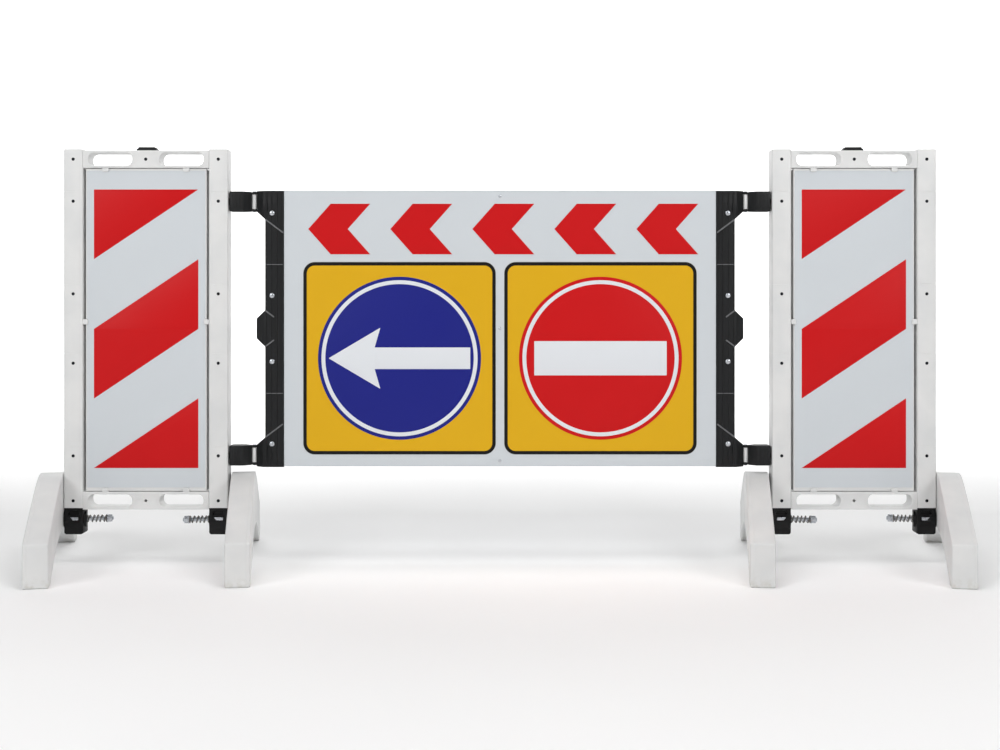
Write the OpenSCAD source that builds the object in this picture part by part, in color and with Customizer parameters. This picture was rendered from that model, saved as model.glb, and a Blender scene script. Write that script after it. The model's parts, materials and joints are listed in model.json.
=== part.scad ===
// Folding road barrier: a framed sign unit hinged between two striped board towers
// that stand on arched feet. Millimetres, +Z up, the signs face -Y.
// Origin: on the floor, under the middle of the sign unit and of the frame depth.

/* [Sign unit] */
// Side of each square sign
square_side = 472; // [390:1:570]
// Gap between the two square signs
square_gap = 21; // [12:1:60]
// Plate left of and right of the square signs
side_margin = 47.5; // [30:0.5:90]
// Plate below the square signs
bottom_margin = 29; // [15:1:80]
// Gap between the square signs and the chevron row
chevron_gap = 19; // [10:1:60]
// Height of a chevron
chevron_h = 124; // [80:1:160]
// Width of a chevron from tip to tail
chevron_w = 152; // [100:1:170]
// Length of the straight edge of a chevron
chevron_arm = 97; // [60:1:110]
// Plate above the chevron row
top_margin = 32; // [20:1:90]
// Number of chevrons
chevron_count = 5; // [3:1:5]
// Thickness of the sign plate
plate_t = 4; // [2:0.5:6]
// Depth of the plate in the groove of an end frame
plate_seat = 40; // [20:1:41]
// Thickness of the white reflective film
film_t = 0.5; // [0.3:0.1:1]
// Corner radius of a square sign
square_r = 28; // [10:1:60]

/* [End frames] */
// Width of an end frame upright
frame_w = 46; // [42:1:70]
// Depth of an end frame, front to back
frame_d = 46; // [36:1:60]
// Lip of the end frame in front of the plate
frame_lip = 3.4; // [2.5:0.1:6]
// Reach of a hinge wing beyond the upright
wing_reach = 23.7; // [18:0.1:40]
// Height of a hinge wing
wing_h = 50; // [40:1:70]
// Height that the slope under a wing takes
wing_slope = 20; // [10:1:40]
// Half height of the grip on the upright at its outer face
grip_half = 24.5; // [15:0.5:40]
// Distance of the outer frame rivets from mid height
rivet_far = 283; // [200:1:320]
// Distance of the inner frame rivets from mid height
rivet_near = 81; // [50:1:140]

/* [Hinges] */
// Radius of a hinge pin
pin_r = 2.5; // [2:0.1:4]
// Running clearance of pins, bolts and spigots, on the radius
fit_gap = 0.05; // [0.02:0.01:0.1]
// Thickness of a hinge ear
ear_t = 3; // [2:0.5:5]
// Wall of a hinge ear round its pin
ear_wall = 3; // [2:0.5:5]
// Gap between parts that move past each other
run_gap = 0.3; // [0.2:0.05:0.6]
// Length of a hinge block
block_len = 52.7; // [40:0.1:80]
// Depth of a hinge block
block_d = 44; // [30:1:50]
// Half angle of the wedge ends at the hinge
wedge_angle = 42; // [35:1:44]
// Length of the collar between a hinge block and its post
collar_len = 3; // [2:0.5:10]
// Radius of that collar
collar_r = 10; // [9:0.5:14]
// Radius of the spigot in the post
spigot_r = 8; // [6:0.5:9]

/* [Towers] */
// Width of a tower
tower_w = 402; // [340:1:520]
// Post height above and below the sign plate
post_over = 102; // [80:1:160]
// Width of a post
post_w = 46.5; // [42:0.5:70]
// Depth of a post
post_d = 50; // [44:1:60]
// Wall of a post
post_wall = 3; // [2:0.5:4]
// Corner radius of a post
post_r = 3; // [1:0.5:5]
// Height of a rail
rail_h = 43; // [40:1:60]
// Step from the post ends to the rails
rail_step = 3.5; // [0:0.5:8]
// Length of a hand slot
slot_len = 108; // [80:1:114]
// Height of a hand slot
slot_h = 31; // [24:1:32]
// Distance of a hand slot's middle from the tower's middle
slot_x = 87.5; // [70:0.5:90]
// Corner radius of a hand slot
slot_r = 12; // [6:0.5:15]
// Gap between the board and a post
board_gap = 6.5; // [3:0.5:12]
// Thickness of the board
board_t = 20; // [12:1:30]
// Step from the post front back to the board front
board_inset = 5; // [4:0.5:12]
// Radius of a post screw
screw_r = 2.5; // [2:0.1:3]
// Distance of the two middle screws above and below mid height
screw_mid = 85; // [50:1:140]
// Width of the lamp socket's cap
socket_w = 48; // [36:1:60]
// Radius of the lamp socket's hole
socket_hole_r = 6.5; // [4:0.5:9]

/* [Feet] */
// Length of a foot
foot_len = 700; // [560:1:860]
// Thickness of a foot
foot_t = 57; // [40:1:70]
// Height of a foot at its middle
foot_h = 220; // [190:1:270]
// Height of a foot at its ends
foot_end_h = 99; // [70:1:120]
// Length of a foot's pad on the floor at each end
pad_len = 45; // [25:1:80]
// Foot left under the bolt's middle
bolt_floor = 17; // [14:0.5:30]
// Gap from the foot's top to the sign unit above it
sweep_gap = 15; // [10:1:40]
// Angle by which the outer feet are toed in
toe_outer = 11; // [0:0.5:12]
// Angle by which the inner feet are turned
toe_inner = 7.5; // [0:0.5:12]
// Drop of the bracket below the post
bracket_drop = 65; // [55:1:80]
// Drop of the bolt below the post
bolt_drop = 30; // [25:1:40]
// Radius of a foot bolt
bolt_r = 5; // [4:0.5:6]
// Fitted length of a bolt spring
spring_len = 48; // [35:1:60]
// Radius of the spring wire
wire_r = 1.5; // [1:0.1:1.8]
// Turns of a bolt spring
spring_turns = 6; // [4:1:8]

/* [Hidden] */
$fn = 64;

white_plastic = "#e4e4e2";
black_plastic = "#26272a";
film_white = "#d5d9dc";
zinc = "#b9bcc0";
sign_red = "#d3191f";
sign_yellow = "#e3b636";

// Sign plate: as large as its signs, chevrons and margins.
plate_w = 2 * square_side + square_gap + 2 * side_margin;
plate_h = bottom_margin + square_side + chevron_gap + chevron_h + top_margin;
frame_drop = 2;
plate_z0 = foot_h + sweep_gap + frame_drop;
plate_z1 = plate_z0 + plate_h;
plate_mid_z = plate_z0 + plate_h / 2;
square_z = plate_z0 + bottom_margin;
square_x = (square_side + square_gap) / 2;
chevron_z = square_z + square_side + chevron_gap + chevron_h / 2;
chevron_row_w = plate_w - 2 * side_margin;
chevron_pitch = (chevron_row_w - chevron_w - 8) / (chevron_count - 1);
sheet_t = 0.4;

// Depths, from the front of the end frame back.
plate_front = -frame_d / 2 + frame_lip + film_t + 0.1;
plate_back = plate_front + plate_t;
film_front = plate_front - film_t;
sheet_front = film_front - sheet_t;

// Rivets and the stiffener behind the plate.
rivet_x = plate_w / 2 + plate_seat - 11;
rivet_r = 2.4;
panel_rivet_z = plate_h / 2 - 13.5;
stiffener_w = 44;
stiffener_d = 18;
stiffener_t = 2.5;

// Hinge axes and the wedge tips on each side of them.
ear_r = pin_r + ear_wall;
tip = ear_r + run_gap;
hinge_x = plate_w / 2 + frame_w + wing_reach + tip;
hinge_low_z = plate_z0 + wing_h / 2 + 1;
hinge_high_z = plate_z1 - wing_h / 2 - 1;
hinge_half = wing_h / 2 - 0.5;
sleeve_half = hinge_half - 2 * ear_t - 2 * run_gap;

// Towers.
tower_x = hinge_x + tip + block_len + collar_len + tower_w / 2;
post_z0 = plate_z0 - post_over;
post_z1 = plate_z1 + post_over;
post_x = (tower_w - post_w) / 2;
between = tower_w - 2 * post_w;
rail_low_z = post_z0 - rail_step + rail_h / 2;
rail_high_z = post_z1 - rail_step - rail_h / 2;
tenon_h = 30;
tenon_d = 34;
tenon_len = post_w - post_wall - 1;
board_w = between - 2 * board_gap;
board_z0 = rail_low_z + rail_h / 2 + 1.5;
board_z1 = rail_high_z - rail_h / 2 - 1.5;
board_front = -post_d / 2 + board_inset;
film_rim = 3;
clip_t = board_inset - film_t - 0.7;
clip_x = 99;
clip_w = 16;
clip_over = 8;
clip_len = board_gap + clip_over - 2;
socket_h = 9;
socket_stem = 34;
lamp_depth = 24;
drain_r = 3.5;
stud_r = 9;

// Heights of the six screws of a post: rails, hinge spigots and the two between.
screw_zs = [
    rail_low_z, hinge_low_z, plate_mid_z - screw_mid,
    plate_mid_z + screw_mid, hinge_high_z, rail_high_z
];

// Feet, brackets and bolts. A leg's own x axis runs along its bolt, outwards.
bolt_z = post_z0 - bolt_drop;
foot_arch = bolt_z - bolt_floor;
foot_ridge = 80;
foot_steps = 48;
bracket_d = 44;
boss_len = 5.2;
boss_r = 20;
foot_face = post_w / 2 + boss_len + run_gap;
head_t = 6;
head_r = 11;
head_sink = 8;
spring_seat = post_w / 2 + 3;
washer_t = 2;
nut_t = 10;
washer_r = 10;
spring_r = 7.9;
bolt_in = spring_seat + 2 * run_gap + spring_len + washer_t + nut_t + 3;
bolt_out = foot_face + foot_t - head_sink;

// ---- shared shapes ----

module rounded_rect(w, h, r) {
    square([w - 2 * r, h], center = true);
    square([w, h - 2 * r], center = true);
    for (x = [-1, 1], y = [-1, 1])
        translate([x * (w / 2 - r), y * (h / 2 - r)]) circle(r);
}

// A cylinder along +Y from y0 to y1.
module y_rod(r, y0, y1) {
    translate([0, y0, 0]) rotate([-90, 0, 0]) cylinder(r = r, h = y1 - y0);
}

// A cylinder along +X from x0 to x1.
module x_rod(r, x0, x1) {
    translate([x0, 0, 0]) rotate([0, 90, 0]) cylinder(r = r, h = x1 - x0);
}

// A flat shape drawn in X and Z, standing up from y0 to y1.
module upright(y0, y1) {
    translate([0, y1, 0]) rotate([90, 0, 0]) linear_extrude(y1 - y0) children();
}

// The left side as drawn, or its mirror image on the right.
module sided(side) {
    if (side < 0) children();
    else mirror([1, 0, 0]) children();
}

module on_tower(side) {
    sided(side) translate([-tower_x, 0, 0]) children();
}

// A leg of the left tower: dir is -1 for the outer post and 1 for the inner post.
module on_leg(side, dir) {
    on_tower(side) translate([dir * post_x, 0, bolt_z])
        rotate([0, 0, dir < 0 ? toe_outer + 180 : toe_inner]) children();
}

// ---- sign unit ----

module rivet_rows(y0, y1, r) {
    for (z = [-rivet_far, -rivet_near, rivet_near, rivet_far])
        translate([0, 0, plate_mid_z + z]) y_rod(r, y0, y1);
}

module panel_rivet_rows(y0, y1, r) {
    for (k = [-1, 0, 1])
        translate([0, 0, plate_mid_z + k * panel_rivet_z]) y_rod(r, y0, y1);
}

module sign_plate() {
    color(zinc) difference() {
        translate([-plate_w / 2 - plate_seat, plate_front, plate_z0])
            cube([plate_w + 2 * plate_seat, plate_t, plate_h]);
        for (s = [-1, 1]) translate([s * rivet_x, 0, 0])
            rivet_rows(plate_front - 1, plate_back + 1, rivet_r + fit_gap);
        panel_rivet_rows(plate_front - 1, plate_back + 1, rivet_r + fit_gap);
    }
}

module sign_film() {
    color(film_white) difference() {
        translate([-plate_w / 2 + 0.3, film_front, plate_z0 + 1])
            cube([plate_w - 0.6, film_t, plate_h - 2]);
        panel_rivet_rows(film_front - 1, plate_front + 1, rivet_r + fit_gap);
    }
}

module chevron() {
    tail = chevron_w - chevron_arm;
    polygon([
        [0, 0], [tail, chevron_h / 2], [chevron_w, chevron_h / 2],
        [chevron_w - tail, 0], [chevron_w, -chevron_h / 2], [tail, -chevron_h / 2]
    ]);
}

module chevron_decals() {
    color(sign_red) upright(sheet_front, film_front)
        for (n = [0 : chevron_count - 1])
            translate([-chevron_row_w / 2 + 12 + n * chevron_pitch, chevron_z]) chevron();
}

module sign_sheet(side) {
    color(sign_yellow) upright(sheet_front, film_front)
        translate([side * square_x, square_z + square_side / 2])
            rounded_rect(square_side, square_side, square_r);
}

// Outline of the left end frame; u runs outwards from the plate.
module frame_outline() {
    u = -plate_w / 2;
    out = u - frame_w - wing_reach;
    low = plate_z0 - frame_drop;
    grip_base = grip_half + wing_slope;
    polygon([
        [u, plate_z1], [out, plate_z1], [out, plate_z1 - wing_h],
        [u - frame_w, plate_z1 - wing_h - wing_slope],
        [u - frame_w, plate_mid_z + grip_base], [out, plate_mid_z + grip_half],
        [out, plate_mid_z - grip_half], [u - frame_w, plate_mid_z - grip_base],
        [u - frame_w, plate_z0 + wing_h + 1 + wing_slope],
        [out, plate_z0 + wing_h + 1], [out, low], [u, low]
    ]);
}

// Plan of the wedge that ends at the hinge, opening away from the pin.
module wedge_plan(depth, reach) {
    far = depth / 2 / tan(wedge_angle);
    near_half = tip * tan(wedge_angle);
    polygon([
        [tip, -near_half], [far, -depth / 2], [reach, -depth / 2],
        [reach, depth / 2], [far, depth / 2], [tip, near_half]
    ]);
}

// One ear: a disc round the pin and a strap to the part that carries it.
module ear(z0) {
    difference() {
        translate([0, 0, z0]) union() {
            cylinder(r = ear_r, h = ear_t);
            translate([0, -tip * tan(wedge_angle), 0])
                cube([tip + 1, 2 * tip * tan(wedge_angle), ear_t]);
        }
        translate([0, 0, z0 - 1]) cylinder(r = pin_r + fit_gap, h = ear_t + 2);
    }
}

module end_frame(side) {
    groove = 0.1;
    color(black_plastic) sided(side) difference() {
        union() {
            intersection() {
                upright(-frame_d / 2, frame_d / 2) frame_outline();
                translate([-hinge_x, 0, 0])
                    linear_extrude(plate_z1 + 1) wedge_plan(frame_d, hinge_x);
            }
            for (z = [hinge_low_z, hinge_high_z]) translate([-hinge_x, 0, z]) {
                ear(hinge_half - ear_t);
                ear(-hinge_half);
            }
        }
        translate([-plate_w / 2 - plate_seat - 1, plate_front - groove, 0])
            cube([plate_seat + 2, plate_t + 2 * groove, plate_z1 + 1]);
        translate([-rivet_x, 0, 0])
            rivet_rows(-frame_d / 2 - 1, frame_d / 2 + 1, rivet_r + fit_gap);
    }
}

module frame_rivets(side) {
    color(zinc) sided(side) translate([-rivet_x, 0, 0]) union() {
        rivet_rows(-frame_d / 2 - 0.5, frame_d / 2 + 0.5, rivet_r);
        rivet_rows(-frame_d / 2 - 2, -frame_d / 2, 4.5);
        rivet_rows(frame_d / 2, frame_d / 2 + 2, 4.5);
    }
}

module panel_rivets() {
    tail_y = plate_back + stiffener_t;
    color(zinc) union() {
        panel_rivet_rows(film_front - 0.5, tail_y + 1, rivet_r);
        panel_rivet_rows(film_front - 1.6, film_front, 4.2);
        panel_rivet_rows(tail_y, tail_y + 1.6, 4.2);
    }
}

module rear_stiffener() {
    color(zinc) difference() {
        translate([-stiffener_w / 2, plate_back, plate_z0 + 2])
            cube([stiffener_w, stiffener_d, plate_h - 4]);
        translate([-stiffener_w / 2 + stiffener_t, plate_back + stiffener_t, plate_z0])
            cube([stiffener_w - 2 * stiffener_t, stiffener_d, plate_h]);
        panel_rivet_rows(plate_back - 1, plate_back + 5, rivet_r + fit_gap);
    }
}

module hinge_pins(side) {
    color(zinc) sided(side) for (z = [hinge_low_z, hinge_high_z])
        translate([-hinge_x, 0, z]) union() {
            translate([0, 0, -hinge_half - 1]) cylinder(r = pin_r, h = 2 * hinge_half + 2);
            translate([0, 0, hinge_half]) cylinder(r = pin_r + 1.6, h = 1.5);
            translate([0, 0, -hinge_half - 1.2]) cylinder(r = pin_r + 1.1, h = 1.2);
        }
}

module hinge_sleeves(side) {
    color(white_plastic) sided(side) for (z = [hinge_low_z, hinge_high_z])
        translate([-hinge_x, 0, z - sleeve_half]) difference() {
            cylinder(r = ear_r - 0.6, h = 2 * sleeve_half);
            translate([0, 0, -1]) cylinder(r = pin_r + fit_gap, h = 2 * sleeve_half + 2);
        }
}

// ---- towers ----

module tenon(grow) {
    translate([-tenon_len / 2, -tenon_d / 2 - grow, -tenon_h / 2 - grow])
        cube([tenon_len, tenon_d + 2 * grow, tenon_h + 2 * grow]);
}

module post(side, dir) {
    color(white_plastic) on_tower(side) translate([dir * post_x, 0, 0]) difference() {
        translate([0, 0, post_z0]) linear_extrude(post_z1 - post_z0)
            rounded_rect(post_w, post_d, post_r);
        translate([-post_w / 2 + post_wall, -post_d / 2 + post_wall, post_z0 - 1])
            cube([post_w - 2 * post_wall, post_d - 2 * post_wall, post_z1 - post_z0 + 1 - post_wall]);
        for (z = [rail_low_z, rail_high_z])
            translate([-dir * post_wall, 0, z]) tenon(0.2);
        for (z = screw_zs)
            translate([0, 0, z]) y_rod(screw_r + fit_gap, -post_d, post_d);
        if (dir > 0) for (z = [hinge_low_z, hinge_high_z])
            translate([0, 0, z]) x_rod(spigot_r + fit_gap, 0, post_w);
    }
}

module hand_slots() {
    for (s = [-1, 1]) translate([s * slot_x, 0, 0])
        upright(-post_d, post_d) rounded_rect(slot_len, slot_h, slot_r);
}

module rail_body(z) {
    translate([-between / 2, -post_d / 2, z - rail_h / 2]) cube([between, post_d, rail_h]);
    for (s = [-1, 1]) translate([s * (post_x - post_wall), 0, z]) tenon(0);
}

module rail_holes(z) {
    translate([0, 0, z]) hand_slots();
    for (s = [-1, 1]) translate([s * post_x, 0, z])
        y_rod(screw_r + fit_gap, -post_d, post_d);
}

module top_rail(side) {
    color(white_plastic) on_tower(side) difference() {
        rail_body(rail_high_z);
        rail_holes(rail_high_z);
        translate([0, 0, rail_high_z]) y_rod(screw_r + fit_gap, -post_d, post_d);
        translate([0, 0, rail_high_z + rail_h / 2 - socket_stem])
            cylinder(r = socket_hole_r + 5 + fit_gap, h = socket_stem + 1);
    }
}

module bottom_rail(side) {
    color(white_plastic) on_tower(side) difference() {
        rail_body(rail_low_z);
        rail_holes(rail_low_z);
        translate([0, 0, rail_low_z]) y_rod(drain_r, -post_d, post_d);
        for (s = [-1, 1]) translate([s * post_x, 0, rail_low_z - tenon_h])
            cylinder(r = stud_r + fit_gap, h = tenon_h + 9);
    }
}

module board(side) {
    color(white_plastic) on_tower(side)
        translate([-board_w / 2, board_front, board_z0])
            cube([board_w, board_t, board_z1 - board_z0]);
}

module board_film(side) {
    color(film_white) on_tower(side)
        translate([-board_w / 2 + film_rim, board_front - film_t, board_z0 + film_rim])
            cube([board_w - 2 * film_rim, film_t, board_z1 - board_z0 - 2 * film_rim]);
}

module board_clips(side) {
    y = board_front - film_t - 0.1 - clip_t;
    color(white_plastic) on_tower(side) {
        for (s = [-1, 1]) {
            translate([s * clip_x - clip_w / 2, y, board_z1 - clip_over])
                cube([clip_w, clip_t, clip_over + 1.4]);
            translate([s * clip_x - clip_w / 2, y, board_z0 - 1.4])
                cube([clip_w, clip_t, clip_over + 1.4]);
            translate([s > 0 ? between / 2 - clip_len : -between / 2, y, plate_mid_z + 10])
                cube([clip_len - 0.1, clip_t, clip_w - 3]);
        }
    }
}

module screw(z) {
    translate([0, 0, z]) y_rod(screw_r, -post_d / 2 - 0.4, post_d / 2 + 0.4);
    translate([0, 0, z]) y_rod(screw_r + 1.5, -post_d / 2 - 1, -post_d / 2);
    translate([0, 0, z]) y_rod(screw_r + 1.5, post_d / 2, post_d / 2 + 1);
}

module post_screws(side) {
    color(black_plastic) on_tower(side) {
        for (s = [-1, 1], z = screw_zs) translate([s * post_x, 0, 0]) screw(z);
        screw(rail_high_z);
    }
}

// Cap on the top rail with a stem in it and a blind hole for a lamp's stud.
module lamp_socket(side) {
    top = rail_high_z + rail_h / 2;
    color(black_plastic) on_tower(side) difference() {
        union() {
            translate([0, 0, top - socket_stem]) cylinder(r = socket_hole_r + 5, h = socket_stem + 1);
            upright(-post_d / 2 + 4, post_d / 2 - 4) polygon([
                [-socket_w / 2, top], [socket_w / 2, top],
                [socket_w / 2 - 3, top + socket_h], [-socket_w / 2 + 3, top + socket_h]
            ]);
        }
        translate([0, 0, top + socket_h - lamp_depth]) cylinder(r = socket_hole_r, h = lamp_depth + 1);
        translate([0, 0, rail_high_z]) y_rod(screw_r + fit_gap, -post_d, post_d);
    }
}

module hinge_blocks(side) {
    reach = tip + block_len;
    color(black_plastic) on_tower(side) for (z = [hinge_low_z, hinge_high_z])
        translate([tower_x - hinge_x, 0, z]) mirror([1, 0, 0]) difference() {
            union() {
                translate([0, 0, -hinge_half]) linear_extrude(2 * hinge_half)
                    wedge_plan(block_d, reach);
                ear(sleeve_half + run_gap);
                ear(-sleeve_half - run_gap - ear_t);
                x_rod(collar_r, reach - 1, reach + collar_len);
                x_rod(spigot_r, reach, reach + collar_len + post_w / 2 + 12);
            }
            translate([reach + collar_len + post_w / 2, 0, 0])
                y_rod(screw_r + fit_gap, -post_d, post_d);
        }
}

module bracket(side, dir) {
    rise = rail_low_z + 8 - post_z0;
    color(black_plastic) difference() {
        union() {
            on_tower(side) translate([dir * post_x, 0, 0]) {
                translate([-post_w / 2, -bracket_d / 2, post_z0 - bracket_drop])
                    cube([post_w, bracket_d, bracket_drop]);
                translate([0, 0, post_z0 - 1]) cylinder(r = stud_r, h = rise + 1);
            }
            on_leg(side, dir) x_rod(boss_r, -post_w / 2 - 3, post_w / 2 + boss_len);
        }
        on_leg(side, dir) x_rod(bolt_r + fit_gap, -post_w, post_w);
        on_tower(side) translate([dir * post_x, 0, rail_low_z])
            y_rod(screw_r + fit_gap, -post_d, post_d);
    }
}

// ---- legs ----

// Height of a foot's top at y: a ridge that is round over foot_ridge, then nearly straight.
function ridge_fall(y) = sqrt(y * y + foot_ridge * foot_ridge) - foot_ridge;
function foot_top(y) = foot_h
    - (foot_h - foot_end_h) * ridge_fall(y) / ridge_fall(foot_len / 2);

module foot_profile() {
    half = foot_len / 2;
    polygon(concat(
        [[-half, 0], [half, 0]],
        [for (k = [0 : foot_steps])
            let (y = half - foot_len * k / foot_steps) [y, foot_top(y)]]
    ));
}

module foot(side, dir) {
    open = foot_len / 2 - pad_len;
    under_r = (open * open + foot_arch * foot_arch) / (2 * foot_arch);
    color(white_plastic) on_leg(side, dir) difference() {
        translate([foot_face, 0, -bolt_z]) rotate([90, 0, 90])
            linear_extrude(foot_t) foot_profile();
        translate([0, 0, foot_arch - under_r - bolt_z])
            x_rod(under_r, foot_face - 1, foot_face + foot_t + 1, $fn = 360);
        x_rod(bolt_r + fit_gap, foot_face - 1, foot_face + foot_t + 1);
        x_rod(head_r + 1, bolt_out, foot_face + foot_t + 1);
    }
}

module foot_bolt(side, dir) {
    color(zinc) on_leg(side, dir) union() {
        x_rod(bolt_r, -bolt_in, bolt_out + 1);
        x_rod(head_r, bolt_out, bolt_out + head_t);
    }
}

module foot_nut(side, dir) {
    x0 = -spring_seat - 2 * run_gap - spring_len;
    color(zinc) on_leg(side, dir) {
        difference() {
            x_rod(washer_r, x0 - washer_t, x0);
            x_rod(bolt_r + fit_gap, x0 - 9, x0 + 9);
        }
        difference() {
            translate([x0 - washer_t, 0, 0]) rotate([0, -90, 0])
                cylinder(r = 9.2, h = nut_t, $fn = 6);
            x_rod(bolt_r, x0 - 2 * nut_t, x0 + 9);
        }
    }
}

// A ring of the spring wire at turn t of the coil, along the bolt axis x.
function coil_x(t) = -spring_seat - run_gap - wire_r
    - (spring_len - 2 * wire_r) * max(0, min(1, (t - 0.75) / (spring_turns - 1.5)));
function coil_ring(t, sides) = [
    for (k = [0 : sides - 1])
        let (a = 360 * t, b = 360 * k / sides, r = spring_r + wire_r * cos(b))
        [coil_x(t) + wire_r * sin(b), r * cos(a), r * sin(a)]
];

module foot_spring(side, dir) {
    sides = 8;
    rings = spring_turns * 12;
    points = [for (i = [0 : rings]) each coil_ring(i / 12, sides)];
    walls = [
        for (i = [0 : rings - 1], k = [0 : sides - 1])
            let (n = (k + 1) % sides)
            [i * sides + k, i * sides + n, (i + 1) * sides + n, (i + 1) * sides + k]
    ];
    first = [[for (k = [sides - 1 : -1 : 0]) k]];
    last = [[for (k = [0 : sides - 1]) rings * sides + k]];
    color(zinc) on_leg(side, dir) polyhedron(points, concat(walls, first, last));
}

sign_plate();
sign_film();
chevron_decals();
sign_sheet(-1);  // left_sign_sheet
sign_sheet(1);  // right_sign_sheet
end_frame(-1);  // left_end_frame
end_frame(1);  // right_end_frame
frame_rivets(-1);  // left_frame_rivets
frame_rivets(1);  // right_frame_rivets
panel_rivets();
rear_stiffener();
hinge_pins(-1);  // left_hinge_pins
hinge_pins(1);  // right_hinge_pins
hinge_sleeves(-1);  // left_hinge_sleeves
hinge_sleeves(1);  // right_hinge_sleeves
post(-1, -1);  // left_outer_post
post(-1, 1);  // left_inner_post
top_rail(-1);  // left_top_rail
bottom_rail(-1);  // left_bottom_rail
board(-1);  // left_board
board_film(-1);  // left_board_film
board_clips(-1);  // left_board_clips
post_screws(-1);  // left_post_screws
lamp_socket(-1);  // left_lamp_socket
hinge_blocks(-1);  // left_hinge_blocks
bracket(-1, -1);  // left_outer_bracket
bracket(-1, 1);  // left_inner_bracket
foot(-1, -1);  // left_outer_foot
foot_bolt(-1, -1);  // left_outer_bolt
foot_spring(-1, -1);  // left_outer_spring
foot_nut(-1, -1);  // left_outer_nut
foot(-1, 1);  // left_inner_foot
foot_bolt(-1, 1);  // left_inner_bolt
foot_spring(-1, 1);  // left_inner_spring
foot_nut(-1, 1);  // left_inner_nut
post(1, -1);  // right_outer_post
post(1, 1);  // right_inner_post
top_rail(1);  // right_top_rail
bottom_rail(1);  // right_bottom_rail
board(1);  // right_board
board_film(1);  // right_board_film
board_clips(1);  // right_board_clips
post_screws(1);  // right_post_screws
lamp_socket(1);  // right_lamp_socket
hinge_blocks(1);  // right_hinge_blocks
bracket(1, -1);  // right_outer_bracket
bracket(1, 1);  // right_inner_bracket
foot(1, -1);  // right_outer_foot
foot_bolt(1, -1);  // right_outer_bolt
foot_spring(1, -1);  // right_outer_spring
foot_nut(1, -1);  // right_outer_nut
foot(1, 1);  // right_inner_foot
foot_bolt(1, 1);  // right_inner_bolt
foot_spring(1, 1);  // right_inner_spring
foot_nut(1, 1);  // right_inner_nut
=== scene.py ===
# %% [markdown]
# # A folding road barrier
#
# This lesson dresses a folding road barrier: a framed sign unit hangs on hinge pins between
# two board towers, and every tower stands on two arched feet. The engineering model holds the
# sizes. Most pieces here take their place and outer box from it, while the shapes inside that
# box, such as wings, hand slots and ribs, are typed in below. We could model every piece by hand
# in the viewport, but then any change of size would mean starting again. A script that measures
# the frame first follows a change of place or height, and only a typed shape is changed twice.

# %% Load the frame
import json
import math

import bpy
import numpy as np
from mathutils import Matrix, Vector
from mathutils.geometry import delaunay_2d_cdt


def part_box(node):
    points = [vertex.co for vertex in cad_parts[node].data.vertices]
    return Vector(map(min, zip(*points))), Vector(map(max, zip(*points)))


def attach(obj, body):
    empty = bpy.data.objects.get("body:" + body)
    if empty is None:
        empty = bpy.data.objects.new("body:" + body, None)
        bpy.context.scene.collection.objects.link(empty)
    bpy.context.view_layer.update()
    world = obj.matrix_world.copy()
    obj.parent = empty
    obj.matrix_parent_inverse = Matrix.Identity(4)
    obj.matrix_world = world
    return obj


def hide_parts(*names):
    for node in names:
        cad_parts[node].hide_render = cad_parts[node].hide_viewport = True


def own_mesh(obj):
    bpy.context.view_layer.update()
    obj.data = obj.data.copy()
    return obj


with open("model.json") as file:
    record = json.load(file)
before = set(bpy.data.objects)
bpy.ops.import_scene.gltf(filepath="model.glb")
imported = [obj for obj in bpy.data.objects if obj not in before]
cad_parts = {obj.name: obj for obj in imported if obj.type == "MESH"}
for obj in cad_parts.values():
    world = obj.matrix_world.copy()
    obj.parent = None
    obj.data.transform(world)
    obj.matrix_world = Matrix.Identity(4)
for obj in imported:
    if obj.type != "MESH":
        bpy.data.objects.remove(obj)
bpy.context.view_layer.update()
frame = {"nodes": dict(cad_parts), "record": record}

# %% [markdown]
# ## Measures
#
# A maker reads sizes off the drawing before cutting anything. Here the drawing is the frame.
# All shapes are worked out in millimetres, because that is how such parts are dimensioned, and
# a piece is turned to metres only when its mesh is made.

# %% Measures from the frame
MM = 0.001
SIDES = ("left", "right")
LEGS = [f"{side}_{place}" for side in SIDES for place in ("outer", "inner")]


def span(node):
    """Lowest and highest corner of a node, in millimetres."""
    low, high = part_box(node)
    return np.array(low) / MM, np.array(high) / MM


def middle(node):
    """Centre of a node's box, in millimetres."""
    return sum(span(node)) / 2


turns = {j["name"]: j for j in frame["record"]["behaviour"]["joints"]}
plate_low, plate_high = span("sign_plate")
sheet_low, sheet_high = span("left_sign_sheet")
sheet_side = sheet_high[0] - sheet_low[0]
print("sign plate", np.round(plate_high - plate_low, 1), "square sign", round(sheet_side, 1))

# %% [markdown]
# ## Outlines
#
# Moulded and punched parts are flat outlines with a thickness and softened edges. Blender's
# bevel tool can soften an edge, but an outline with worked-out arcs and an edge profile carried
# round it gives the same clean ring of faces at any size, so that is the way used here.


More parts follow.
